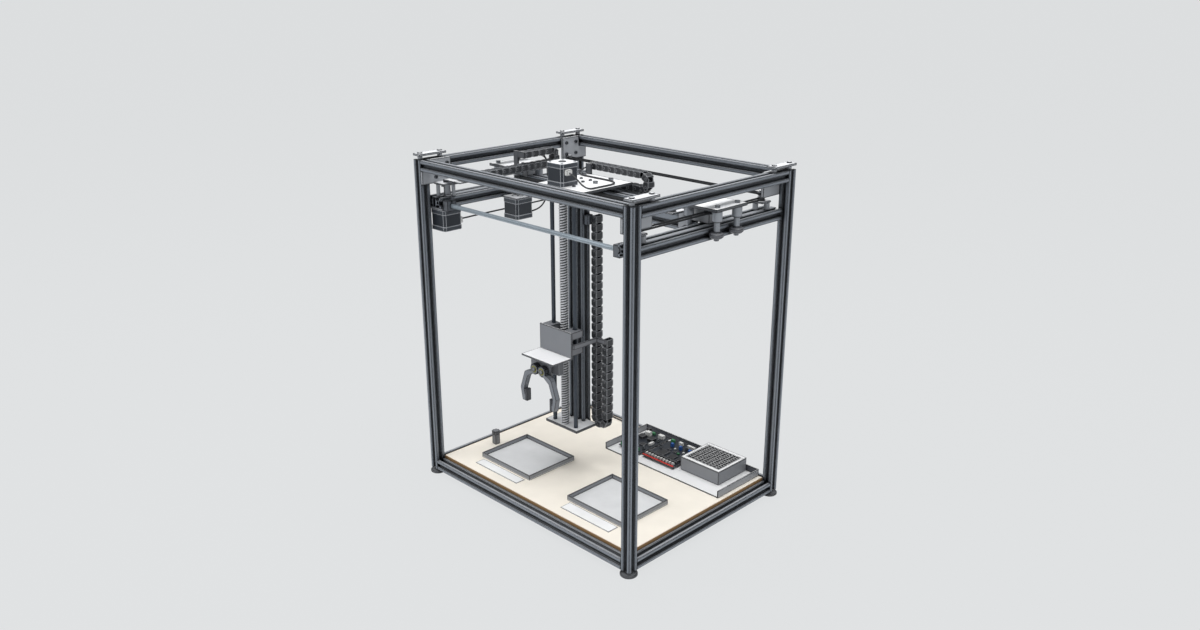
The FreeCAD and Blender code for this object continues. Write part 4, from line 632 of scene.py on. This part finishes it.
def paint_root_shade(name, axis, root, crest):
    """Painted shade: lets a colour fall to near black between two distances from an upright axis."""
    nodes, links, shader, place = shader_nodes[name]
    source = shader.inputs["Base Color"].links[0].from_socket
    offset = nodes.new("ShaderNodeVectorMath")
    offset.operation = "SUBTRACT"
    offset.inputs[1].default_value = mm(*axis, 0)
    flat = nodes.new("ShaderNodeVectorMath")
    flat.operation = "MULTIPLY"
    flat.inputs[1].default_value = (1, 1, 0)
    reach = nodes.new("ShaderNodeVectorMath")
    reach.operation = "LENGTH"
    depth = nodes.new("ShaderNodeMapRange")
    depth.inputs["From Min"].default_value = crest / 1000
    depth.inputs["From Max"].default_value = root / 1000
    shade = nodes.new("ShaderNodeMix")
    shade.data_type = "RGBA"
    shade.inputs["B"].default_value = LINE_AND_SHADE_BLACK
    links.new(place.outputs["Object"], offset.inputs[0])
    links.new(offset.outputs["Vector"], flat.inputs[0])
    links.new(flat.outputs["Vector"], reach.inputs[0])
    links.new(reach.outputs["Value"], depth.inputs["Value"])
    links.new(depth.outputs["Result"], shade.inputs["Factor"])
    links.new(source, shade.inputs["A"])
    links.new(shade.outputs["Result"], shader.inputs["Base Color"])


paint_root_shade("screw_thread", SCREW_AXIS, DARKEST_RADIUS, BRIGHT_RADIUS)
print("roots below", DARKEST_RADIUS, "mm are dark")

# %% [markdown]
# ## Stepper motors
# A stepper motor is a stack of dark steel sheets between two grey cast caps. Height
# tells the stack from the caps, and a wave texture gives the sheets' fine lines. The
# top face is bare metal, given a pale colour of painted light from above, and the edges carry pale lines.


# %% Motor finish
CAP_HEIGHT = 0.0081


def motor_finish(name, low, high):
    """A stepper motor: dark laminated sides between two grey cast caps, split by height."""
    material = new_material(name, (0.05, 0.055, 0.065), 0.45)
    nodes, links, shader, place = shader_nodes[name]
    axes = nodes.new("ShaderNodeSeparateXYZ")
    links.new(place.outputs["Object"], axes.inputs["Vector"])
    stack = nodes.new("ShaderNodeMath")
    stack.operation = "COMPARE"
    stack.inputs[1].default_value = (low + high) / 2000
    stack.inputs[2].default_value = (high - low) / 2000 - CAP_HEIGHT
    links.new(axes.outputs["Z"], stack.inputs[0])
    sheets = nodes.new("ShaderNodeTexWave")
    sheets.bands_direction = "Z"
    sheets.inputs["Scale"].default_value = 330.0
    links.new(place.outputs["Object"], sheets.inputs["Vector"])
    tone = place_group(name, CLOUD, {"Color": (0.05, 0.058, 0.07, 1), "Scale": 40.0, "Amount": 0.2})
    mix = nodes.new("ShaderNodeMix")
    mix.data_type = "RGBA"
    mix.inputs["B"].default_value = (0.018, 0.023, 0.031, 1)
    links.new(tone.outputs["Color"], mix.inputs["A"])
    links.new(stack.outputs["Value"], mix.inputs["Factor"])
    # Painted light: the motor's top face turns pale.
    with_lit_top = pick_colour(name, mix.outputs["Result"], (0.78, 0.79, 0.80), "Z", 0.7, 0.1)
    draw_edges(name, with_lit_top, PALE_LINE, 0.9)
    bump = nodes.new("ShaderNodeBump")
    bump.inputs["Strength"].default_value = 0.2
    bump.inputs["Distance"].default_value = 0.0002
    links.new(sheets.outputs["Fac"], bump.inputs["Height"])
    links.new(bump.outputs["Normal"], shader.inputs["Normal"])
    return material


y_motor_skin = motor_finish("y_motor_skin", 502, 541)
x_motor_skin = motor_finish("x_motor_skin", 506.5, 545.5)
z_motor_skin = motor_finish("z_motor_skin", 598, 639)
print("finishes:", len(shader_nodes))

# %% [markdown]
# ## Dress the CAD nodes
# A node whose shape is right keeps its mesh and only changes its material. The table
# names the finish of each node. The vee wheels are found by name, and whatever is left
# is a turned pulley.

# %% Finishes by node
NODE_FINISH = {
    "corner_posts": profile_upright, "top_beams": profile_level, "bottom_beams": profile_level,
    "side_rails": profile_level, "cross_beam": profile_level, "z_column": profile_upright,
    "levelling_feet": foot_black, "corner_plates": bracket_metal, "carriage_plates": thin_plate,
    "beam_end_blocks": plate_metal, "frame_brackets": bracket_metal, "bridge_brackets": bracket_metal,
    "x_carriage_plate": thin_plate, "z_bottom_plate": thin_plate, "base_board": board_cream,
    "workpiece_trays": tray_grey, "electronics_tray": tray_white, "power_supply": case_metal,
    "control_boards": circuit_dark, "capped_block": cap_grey, "y_motor": y_motor_skin,
    "x_motor": x_motor_skin, "z_motor": z_motor_skin, "tie_rod": tie_steel, "guide_rods": rod_steel,
    "y_wheel_axles": axle_steel, "x_wheel_axles": axle_steel, "y_belts": belt_black, "x_belt": belt_black,
    "y_chain": chain_black, "x_chain": chain_black, "z_chain": chain_black, "lead_screw": screw_steel,
    "z_carriage_plate": gripper_metal, "gripper_plate": gripper_metal, "rod_bearing_blocks": bearing_grey,
    "gripper_servo": servo_dark, "finger_left": finger_metal, "finger_right": finger_metal,
}
print("nodes with a named finish:", len(NODE_FINISH))


# %% Dress the nodes
def dress(node, material):
    """Gives a CAD node its finish. Its mesh stays as it is."""
    mesh = node.data
    if not mesh.materials:
        mesh.materials.append(material)
    for index in range(len(mesh.materials)):
        mesh.materials[index] = material


for name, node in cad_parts.items():
    known = NODE_FINISH.get(name)
    if known is None and "wheel" in name:
        known = wheel_black
    dress(node, known or pulley_metal)
print("dressed", len(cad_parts), "nodes")

# %% [markdown]
# ## Piece helpers
# Every new piece starts as a bmesh of blocks and discs with bevelled edges, and is then
# handed to the CAD body that carries it. Sharp edges give away a model: a bevel of half
# a millimetre is enough to catch the light.


# %% Piece helpers
def new_piece(name, shape, material, body, smooth=False):
    """Turns a bmesh into an object that rides on a body."""
    bmesh.ops.recalc_face_normals(shape, faces=shape.faces)
    mesh = bpy.data.meshes.new(name)
    shape.to_mesh(mesh)
    shape.free()
    if smooth:
        for polygon in mesh.polygons:
            polygon.use_smooth = True
    piece = bpy.data.objects.new(name, mesh)
    bpy.context.collection.objects.link(piece)
    mesh.materials.append(material)
    if body:
        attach(piece, body)
    return piece


def bevel_edges(shape, edges, width, segments=2):
    """Rounds some edges."""
    bmesh.ops.bevel(shape, geom=edges, offset=width, offset_type="OFFSET", segments=segments,
                    profile=0.5, affect="EDGES", material=-1, clamp_overlap=True)


def add_block(shape, low, high, rounding=0.0):
    """A block between two corners in millimetres, with softened edges."""
    made = bmesh.ops.create_cube(shape, size=1.0)["verts"]
    low, high = mm(*low), mm(*high)
    bmesh.ops.scale(shape, vec=high - low, verts=made)
    bmesh.ops.translate(shape, vec=(low + high) / 2, verts=made)
    if rounding:
        edges = list({edge for vertex in made for edge in vertex.link_edges})
        bevel_edges(shape, edges, rounding / 1000)
    return made


# %% Screw heads and bosses
def top_face(vertices):
    """The highest face that touches some vertices."""
    faces = (face for vertex in vertices for face in vertex.link_faces)
    return max(faces, key=lambda face: face.calc_center_median().z)


def add_disc(shape, start, axis, radius, height, rounding=0.0, sides=20, socket=0.0):
    """A round boss or screw head standing on its start point, with an optional socket."""
    made = bmesh.ops.create_cone(
        shape, cap_ends=True, cap_tris=False, segments=sides,
        radius1=radius / 1000, radius2=radius / 1000, depth=height / 1000)["verts"]
    bmesh.ops.translate(shape, vec=mm(0, 0, height / 2), verts=made)
    top = top_face(made)
    if rounding:
        result = bmesh.ops.bevel(
            shape, geom=list(top.edges), offset=rounding / 1000, offset_type="OFFSET",
            segments=2, profile=0.5, affect="EDGES", material=-1, clamp_overlap=True)
        made = list({vertex for vertex in made if vertex.is_valid} | set(result["verts"]))
        top = top_face(made)
    if socket:
        inset = (radius - rounding - socket) / 1000
        ring = bmesh.ops.inset_region(shape, faces=[top], thickness=inset)
        walls = bmesh.ops.extrude_discrete_faces(shape, faces=[top])["faces"]
        bmesh.ops.translate(shape, vec=mm(0, 0, -height * 0.6), verts=walls[0].verts)
        made = set(made) | {corner for face in ring["faces"] + walls for corner in face.verts}
        made = list(made | {end for vertex in made for edge in vertex.link_edges for end in edge.verts})
    turn = Vector((0, 0, 1)).rotation_difference(Vector(axis)).to_matrix().to_4x4()
    bmesh.ops.transform(shape, matrix=Matrix.Translation(mm(*start)) @ turn, verts=made)
    return made


# %% [markdown]
# ## Drag chains
# A drag chain is a row of hollow links, each with two side plates and two cross bars,
# pinned to the next. One link is modelled and repeated along a straight run, a half
# turn and a second run. When the axis moves, the bend rolls along at half the speed,
# so each chain is made as three pieces: two runs and the bend.


# %% One chain link
LINK_WIDTH = 18.0
LINK_HEIGHT = 12.0
LINK_PITCH = 16.0
SIDE_WALL = 1.8
TAB_WALL = 1.7
TAB_GAP = 0.1
TAB_BELOW_EDGE = 1.2
BAR_THICKNESS = 1.6
PIN_RADIUS = 2.3
PIN_STANDS_OUT = 0.35


def add_side(shape, start, end, wall, side, inset, tall, rounding):
    """One upright wall of a link, with the edges across it rounded."""
    outer = side * (LINK_WIDTH / 2 - inset)
    low, high = sorted((outer, outer - side * wall))
    made = add_block(shape, (start, low, -tall), (end, high, tall))
    across = list({edge for vertex in made for edge in vertex.link_edges
                   if abs((edge.verts[0].co - edge.verts[1].co).y) > 0.001})
    bevel_edges(shape, across, rounding)


def link_mesh(pitch):
    """One hollow link from 0 to its pitch along X, 18 mm wide along Y and 12 mm high along Z."""
    shape = bmesh.new()
    half, tall = LINK_WIDTH / 2, LINK_HEIGHT / 2
    for side in (-1, 1):
        add_side(shape, -2.6, pitch - 4.4, SIDE_WALL, side, 0.0, tall, 0.0028)
        add_side(shape, pitch - 9.0, pitch + 2.4, TAB_WALL, side, SIDE_WALL + TAB_GAP,
                 tall - TAB_BELOW_EDGE, 0.0024)
        add_disc(shape, (0, side * half, 0), (0, side, 0), PIN_RADIUS, PIN_STANDS_OUT, 0.0, 12)
    for level in (-tall, tall - BAR_THICKNESS):
        add_block(shape, (-1.4, -half + SIDE_WALL, level),
                  (pitch - 4.8, half - SIDE_WALL, level + BAR_THICKNESS), 0.4)
    mesh = bpy.data.meshes.new("chain_link")
    shape.to_mesh(mesh)
    shape.free()
    return mesh


def add_link(shape, mesh, at, along, across, up):
    """Copies the link mesh into a run, turned to lie along its direction."""
    before = len(shape.verts)
    shape.from_mesh(mesh)
    shape.verts.ensure_lookup_table()
    turn = Matrix((along, across, up)).transposed().to_4x4()
    bmesh.ops.transform(shape, matrix=Matrix.Translation(at) @ turn, verts=shape.verts[before:])


# %% Whole chains
TURN_LINKS = 3
FIRST_LINK_SHIFT = 0.2


def drag_chain(name, fixed_end, along, rise, first_run, second_run, radius, material):
    """Two runs and a half turn.

    along leads from the fixed end to the bend, and rise from one run to the other.
    """
    start, along, rise = mm(*fixed_end), Vector(along), Vector(rise)
    bend_centre = start + along * first_run / 1000 + rise * radius / 1000
    moving_end = start + along * (first_run - second_run) / 1000 + rise * 2 * radius / 1000
    runs = []
    for label, origin, up, length in (
            ("fixed_run", start, rise, first_run), ("moving_run", moving_end, -rise, second_run)):
        count = round(length / LINK_PITCH)
        pitch = length / count
        mesh = link_mesh(pitch)
        shape = bmesh.new()
        side = up.cross(along)
        for link in range(count):
            at = origin + along * (link + FIRST_LINK_SHIFT) * pitch / 1000
            add_link(shape, mesh, at, along, side, up)
        runs.append(new_piece(name + "_" + label, shape, material, None))
    turn_pitch = math.pi * radius / TURN_LINKS
    mesh = link_mesh(turn_pitch)
    shape = bmesh.new()
    for step in range(TURN_LINKS):
        angle = math.pi * (step + 0.5) / TURN_LINKS - math.pi / 2
        outward = along * math.cos(angle) + rise * math.sin(angle)
        heading = -along * math.sin(angle) + rise * math.cos(angle)
        at = bend_centre + outward * radius / 1000 - heading * turn_pitch / 2000
        add_link(shape, mesh, at, heading, (-outward).cross(heading), -outward)
    turn = new_piece(name + "_turn", shape, material, None)
    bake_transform(runs[0])
    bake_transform(turn)
    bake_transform(runs[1])
    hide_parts(name)
    print(name, "links:", sum(round(length / LINK_PITCH) for length in (first_run, second_run)) + TURN_LINKS)


drag_chain("y_chain", (-195, -164, 603.5),
           (0, 1, 0), (0, 0, 1), 220, 70, 12, chain_black)
drag_chain("x_chain", (-106, 67, 585.5),
           (1, 0, 0), (0, 0, 1), 150, 128, 13, chain_black)
drag_chain("z_chain", (-10, 2, 540),
           (0, 0, -1), (1, 0, 0), 399, 166, 14, chain_black)

# %% [markdown]
# ## Screws
# The real machine is held together by socket screws. Their heads are small, so all
# the heads on one body are one piece, and each is a bevelled disc with a round socket.
# A head is given by its seat, the way it points, its radius and its height.

# %% Screws
GUSSET_FACE = 249.4
GUSSET_SCREWS = ((152, 601), (178, 601), (152, 624), (178, 624))
SCREWS = {
    "frame": [((side * GUSSET_FACE, fore * y, z), (-side, 0, 0), 3.6, 3.0)
              for side in (-1, 1) for fore in (-1, 1) for y, z in GUSSET_SCREWS],
    "bridge": [((side * x, y, 601), (0, 0, 1), 3.4, 2.6)
               for side in (-1, 1) for x, y in ((214, 18), (231, 18))],
    "x_carriage": [((x, y, 598), (0, 0, 1), 3.2, 2.6)
                   for x, y in ((-57, -11), (-33, -11), (-74, -50), (-16, -50), (-57, 8), (-33, 8))],
    "z_carriage": [((x, -42, z), (0, 1, 0), 2.0, 1.4)
                   for x in (-84, -64, -26, -6) for z in (291, 322)],
}
for body, places in SCREWS.items():
    shape = bmesh.new()
    for start, axis, radius, height in places:
        add_disc(shape, start, axis, radius, height, 0.4, 16, radius * 0.5)
    new_piece(body + "_screws", shape, fastener, body)
    print(body, "screws:", len(places))

# %% [markdown]
# ## Motor screws and bosses
# A motor has four screws on a square and a round boss in its middle. For each motor the
# list gives its body, its axis, the height of its bare face and the way that it looks.

# %% Motor screws and bosses
MOTOR_SCREW_REACH = 15.5
MOTORS = {
    "y_motor": ("frame", (-242, -163.5), 502, -1),
    "x_motor": ("bridge", (-203, -21), 506.5, -1),
    "z_motor": ("x_carriage", SCREW_AXIS, 639, 1),
}
for name, (body, (x, y), level, way) in MOTORS.items():
    shape = bmesh.new()
    for dx in (-MOTOR_SCREW_REACH, MOTOR_SCREW_REACH):
        for dy in (-MOTOR_SCREW_REACH, MOTOR_SCREW_REACH):
            add_disc(shape, (x + dx, y + dy, level), (0, 0, way), 2.6, 0.9, 0.2, 16, 1.2)
    new_piece(name + "_screws", shape, dark_fastener, body)
    shape = bmesh.new()
    add_disc(shape, (x, y, level), (0, 0, way), 7.0, 1.2, 0.4, 28, 4.2)
    new_piece(name + "_boss", shape, cap_grey, body)
    print(name, "screws: 4")

# %% [markdown]
# ## Name plates
# A bare white plate lies before each tray. It is a thin block with soft edges.

# %% Name plates
shape = bmesh.new()
add_block(shape, (-184, -165, 34.4), (-61, -144, 35.6), 0.4)
add_block(shape, (64, -167, 34.4), (187, -143, 35.6), 0.4)
plates = new_piece("name_plates", shape, label_white, "frame")
print(plates.name, "faces:", len(plates.data.polygons))

# %% [markdown]
# ## Circuit boards
# Two boards stand on short pillars in the long tray. A board is read by its parts:
# terminal blocks along the edges, chips in the middle, and small cans between them.
# Each kind is one piece of many blocks, so that it has one colour. A block is given by
# its front left corner on the board and its length, width and height.

# %% Component places
BOARD_LEVEL = 42.0
COMPONENTS = {
    "board_terminals_green": (terminal_green, [(-26, 85, 14, 6, 8), (10, 85, 12, 6, 8), (40, 165, 8, 6, 7),
                                               (84, 132, 5, 5, 3), (-14, 164, 9, 6, 5), (60, 102, 4, 3, 3)]),
    "board_terminals_white": (terminal_white, [(38 + 7.6 * n, 90, 5.0, 5, 5) for n in range(10)]
                              + [(-20, 152, 12, 10, 9), (8, 160, 14, 9, 8), (60, 166, 10, 6, 7),
                                 (82, 166, 20, 6, 7), (-4, 102, 8, 6, 4), (16, 122, 6, 14, 5),
                                 (66, 144, 5, 4, 3), (90, 142, 5, 4, 3)]),
    "board_plugs_blue": (connector_blue, [(52, 150, 6, 6, 8), (74, 150, 6, 6, 8), (98, 150, 6, 6, 8)]),
    "board_strip_red": (strip_red, [(35, 84.6, 80, 2.6, 2.2)]),
    "board_chips": (chip_black, [(-24, 134, 14, 14, 6), (0, 136, 14, 14, 6), (48, 108, 22, 22, 2.5),
                                 (78, 110, 16, 16, 2.2), (-24, 112, 12, 12, 2), (0, 112, 12, 12, 2),
                                 (56, 136, 8, 5, 2), (72, 134, 8, 5, 2), (100, 130, 10, 6, 2.4),
                                 (38, 99, 74, 4, 5), (-26, 95, 30, 4, 6), (104, 106, 7, 20, 5),
                                 (-28, 166, 8, 8, 10)]),
    "board_cans_grey": (fastener, [(30 + 8 * n, 124 + 9 * (n % 2), 4, 4, 6) for n in range(1, 3)]
                        + [(86 + 7 * n, 156, 4, 4, 7) for n in range(3)]
                        + [(20, 100, 5, 5, 8), (20, 144, 5, 5, 8)]),
}
print("components:", sum(len(places) for _, places in COMPONENTS.values()))

# %% Boards and their parts
BOARD_THICKNESS = 1.6
BOARD_FRONT, BOARD_REAR = 84, 176
TRAY_FLOOR = 36.4
PILLAR_INSET = 5
shape = bmesh.new()
for x0, x1 in ((-30, 28), (34, 116)):
    add_block(shape, (x0, BOARD_FRONT, BOARD_LEVEL - BOARD_THICKNESS), (x1, BOARD_REAR, BOARD_LEVEL), 0.2)
    for x in (x0 + PILLAR_INSET, x1 - PILLAR_INSET):
        for y in (BOARD_FRONT + PILLAR_INSET, BOARD_REAR - PILLAR_INSET):
            add_disc(shape, (x, y, TRAY_FLOOR), (0, 0, 1), 2.6, BOARD_LEVEL - BOARD_THICKNESS - TRAY_FLOOR)
boards = new_piece("dressed_boards", shape, circuit_dark, "frame")
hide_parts("control_boards")
for name, (material, places) in COMPONENTS.items():
    shape = bmesh.new()
    for x, y, length, width, height in places:
        add_block(shape, (x, y, BOARD_LEVEL), (x + length, y + width, BOARD_LEVEL + height), 0.5)
    new_piece(name, shape, material, "frame")
print("kinds of component:", len(COMPONENTS))

# %% [markdown]
# ## Power supply
# The case is folded from sheet, and its lid is a lattice of ten rows of nine slots.
# Cutting ninety slots would give long thin faces, so the lid is built from narrow bars
# over a dark sheet, painted shade that stands for the unlit inside, within a plain rim.

# %% Power supply
CASE_LEFT, CASE_RIGHT, CASE_FRONT, CASE_REAR = 124, 218, 98, 184
LID_LEFT, LID_RIGHT, LID_FRONT, LID_REAR = 131, 211, 107, 175
LID_BOTTOM, LID_TOP = 62.9, 64.4
ROW_BARS, ROW_PITCH = 11, 6.7
COLUMN_BARS, COLUMN_PITCH = 10, 8.77
shape = bmesh.new()
add_block(shape, (CASE_LEFT, CASE_FRONT, TRAY_FLOOR), (CASE_RIGHT, CASE_REAR, LID_BOTTOM), 0.5)
for x0, y0, x1, y1 in (
        (CASE_LEFT, CASE_FRONT, CASE_RIGHT, LID_FRONT), (CASE_LEFT, LID_REAR, CASE_RIGHT, CASE_REAR),
        (CASE_LEFT, LID_FRONT, LID_LEFT, LID_REAR), (LID_RIGHT, LID_FRONT, CASE_RIGHT, LID_REAR)):
    add_block(shape, (x0, y0, LID_BOTTOM), (x1, y1, LID_TOP))
for row in range(ROW_BARS):
    y = LID_FRONT + row * ROW_PITCH
    add_block(shape, (LID_LEFT, y - 0.6, LID_BOTTOM + 0.1), (LID_RIGHT, y + 1.6, LID_TOP - 0.1))
for column in range(COLUMN_BARS):
    x = LID_LEFT + column * COLUMN_PITCH
    add_block(shape, (x - 0.7, LID_FRONT, LID_BOTTOM + 0.1), (x + 1.8, LID_REAR, LID_TOP - 0.2))
supply = new_piece("dressed_supply", shape, case_metal, "frame")
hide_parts("power_supply")
# A near black sheet under the bars: painted shade where the inside is unlit.
shape = bmesh.new()
add_block(shape, (LID_LEFT, LID_FRONT, LID_BOTTOM), (LID_RIGHT, LID_REAR, LID_BOTTOM + 0.25))
new_piece("supply_shade_sheet", shape, chip_black, "frame")
print("lid bars:", ROW_BARS + COLUMN_BARS)

# %% [markdown]
# ## Lead screw
# The CAD screw has rings one lead apart. Screws of such a quick lead have two starts, so
# a lead of 10 mm shows as a pitch of 5 mm. A spun outline would give closed rings, so
# the thread is a tube whose radius follows the helix. It is right handed: the nut climbs
# when the screw turns clockwise, seen from above.

# %% Two start thread
SCREW_LOW, SCREW_HIGH, SCREW_PITCH, SCREW_LEAD = 129.3, 592.7, 5.0, 10.0
JOURNAL_LOW, JOURNAL_HIGH, JOURNAL_RADIUS = 124.3, 606.0, 3.9
ROOT_RADIUS, THREAD_DEPTH = 6.45, 1.5
SECTORS, STEPS_PER_PITCH = 20, 8


def thread_radius(level, angle):
    """The screw's radius at a height and an angle. The flanks slope between flat root and crest."""
    if not SCREW_LOW <= level <= SCREW_HIGH:
        return JOURNAL_RADIUS
    phase = ((level - SCREW_LEAD * angle / (2 * math.pi)) / SCREW_PITCH) % 1.0
    return ROOT_RADIUS + THREAD_DEPTH * min(1.0, max(0.0, 1.6 - 4.0 * abs(phase - 0.5)))


steps = int((SCREW_HIGH - SCREW_LOW) / SCREW_PITCH * STEPS_PER_PITCH) + 1
levels = [SCREW_LOW + step * SCREW_PITCH / STEPS_PER_PITCH for step in range(steps)]
shape = bmesh.new()
rings = []
for level in [JOURNAL_LOW] + levels + [JOURNAL_HIGH]:
    ring = []
    for sector in range(SECTORS):
        angle = 2 * math.pi * sector / SECTORS
        radius = thread_radius(level, angle)
        ring.append(shape.verts.new(mm(
            SCREW_AXIS[0] + radius * math.cos(angle), SCREW_AXIS[1] + radius * math.sin(angle), level)))
    rings.append(ring)
for lower, upper in zip(rings, rings[1:]):
    for sector in range(SECTORS):
        after = (sector + 1) % SECTORS
        shape.faces.new((lower[sector], lower[after], upper[after], upper[sector]))
shape.faces.new(list(reversed(rings[0])))
shape.faces.new(rings[-1])
thread = new_piece("two_start_thread", shape, screw_steel, "lead_screw_body", True)
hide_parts("lead_screw")
print("thread faces:", len(thread.data.polygons))

# %% [markdown]
# ## Gripper
# The toothed hubs carry a worn brass face, and the fingertips rubber pads. Both ride on
# the finger's own body, so they turn with it.

# %% Hub faces and pads
HUB_SPREAD = 10.2
HUB_FACE_Y, HUB_HEIGHT = -119, 258.3
for side, body in ((-1, "finger_left_body"), (1, "finger_right_body")):
    centre = SCREW_AXIS[0] + side * HUB_SPREAD
    shape = bmesh.new()
    add_disc(shape, (centre, HUB_FACE_Y, HUB_HEIGHT), (0, -1, 0), 6.6, 0.25, 0.0, 32, 5.0)
    new_piece(body + "_hub_face", shape, brass, body)
    shape = bmesh.new()
    inner, outer = sorted((centre + side * 21.4, centre + side * 26.6))
    add_block(shape, (inner, -119.4, 187.0), (outer, -108.6, 211.0), 0.6)
    new_piece(body + "_pad", shape, pad_grey, body)
    print(body, "hub at", round(centre, 1), "mm")

# %% [markdown]
# ## Cables
# Each motor's lead is a thin round cable. It leaves the motor, is led along the frame or
# over a plate, and goes into a drag chain or the board tray. A cable is a smooth curve
# with a round section, which is what a bevelled curve object gives. Its points were
# chosen a little off the straight line where a real cable hangs loose.

# %% Cable routes
CABLE_RADIUS = 1.5
CABLES = {
    "y_motor_lead": ("frame", "y_motor_cable", cable_black, [
        (-236, -142.35, 517), (-236, -124, 517), (-237, -100, 517.3), (-238, -50, 517.5), (-238, 0, 517.7),
        (-239, 50, 517.9), (-241, 100, 518.1), (-246, 140, 538), (-252, 165, 530),
        (-259, 182, 508), (-262, 185.8, 466), (-264, 185.8, 410), (-262, 185.8, 354), (-264, 185.8, 298),
        (-262, 185.8, 242), (-264, 185.8, 186), (-262, 185.8, 130), (-262, 185.5, 82), (-254, 184, 50),
        (-230, 181, 37.5), (-196, 179, 36.2), (-142, 181, 36.2), (-92, 178, 36.2), (-62, 174, 37.5),
        (-46, 170, 39)]),
    "x_motor_lead": ("bridge", "x_motor_cable", cable_black, [
        (-203, 0.15, 512), (-203, 22, 512), (-205, 44, 518), (-209, 60, 534), (-210.5, 65, 558),
        (-210.5, 63.5, 586), (-211, 62.5, 608), (-211, 48, 624), (-212, 25, 627.5), (-211, 4, 627),
        (-211, -14, 627)]),
    "x_chain_lead": ("bridge", "x_motor_cable", cable_brown, [
        (-214.5, -14, 618.5), (-214.5, 8, 618), (-216, 34, 619), (-215.5, 57, 616), (-214, 71, 599),
        (-208, 74, 578), (-186, 73, 569), (-158, 70, 573), (-131, 67.5, 583), (-106, 67, 585.5)]),
    "z_motor_lead": ("x_carriage", "z_motor_cable", cable_black, [
        (-23.85, -58.5, 624), (-8, -58.5, 622), (24, -60, 599.8), (24, -24.8, 599.8), (24, 28, 599.8),
        (-55.2, 28, 599.8), (-82, 28, 599.8), (-95, 41.4, 603), (-95, 56.2, 608), (-84.9, 66.3, 611.5)]),
}
print("cables:", len(CABLES))

# %% Cable curves
for name, (body, node, material, points) in CABLES.items():
    curve = bpy.data.curves.new(name, "CURVE")
    curve.dimensions = "3D"
    curve.bevel_depth = CABLE_RADIUS / 1000
    curve.bevel_resolution = 3
    curve.resolution_u = 6
    spline = curve.splines.new("NURBS")
    spline.points.add(len(points) - 1)
    for control, point in zip(spline.points, points):
        control.co = (*mm(*point), 1.0)
    spline.order_u = 3
    spline.use_endpoint_u = True
    curve.materials.append(material)
    lead = bpy.data.objects.new(name, curve)
    bpy.context.collection.objects.link(lead)
    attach(lead, body)
    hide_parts(node)
    print(name, "points:", len(points))

# %% [markdown]
# ## Plugs and ties
# Each lead ends in a white plug in its motor's side. The long one is held to the rear
# post by five ties.

# %% Motor plugs
PLUGS = {
    "y_motor_plug": ("frame", (-243, -142.4, 511), (-229, -135.5, 522)),
    "x_motor_plug": ("bridge", (-210, 0.1, 507.5), (-196, 7, 517)),
    "z_motor_plug": ("x_carriage", (-23.9, -65, 619), (-17, -52, 629)),
}
for name, (body, low, high) in PLUGS.items():
    shape = bmesh.new()
    add_block(shape, low, high, 0.8)
    new_piece(name, shape, terminal_white, body)
print("plugs:", len(PLUGS))

# %% Cable ties
TIE_HEIGHTS = (470, 380, 290, 200, 110)
TIE_WIDTH = 3
shape = bmesh.new()
for z in TIE_HEIGHTS:
    add_block(shape, (-268, 183.6, z), (-257, 187.4, z + TIE_WIDTH), 0.6)
new_piece("cable_ties", shape, chip_black, "frame")
print("ties:", len(TIE_HEIGHTS))
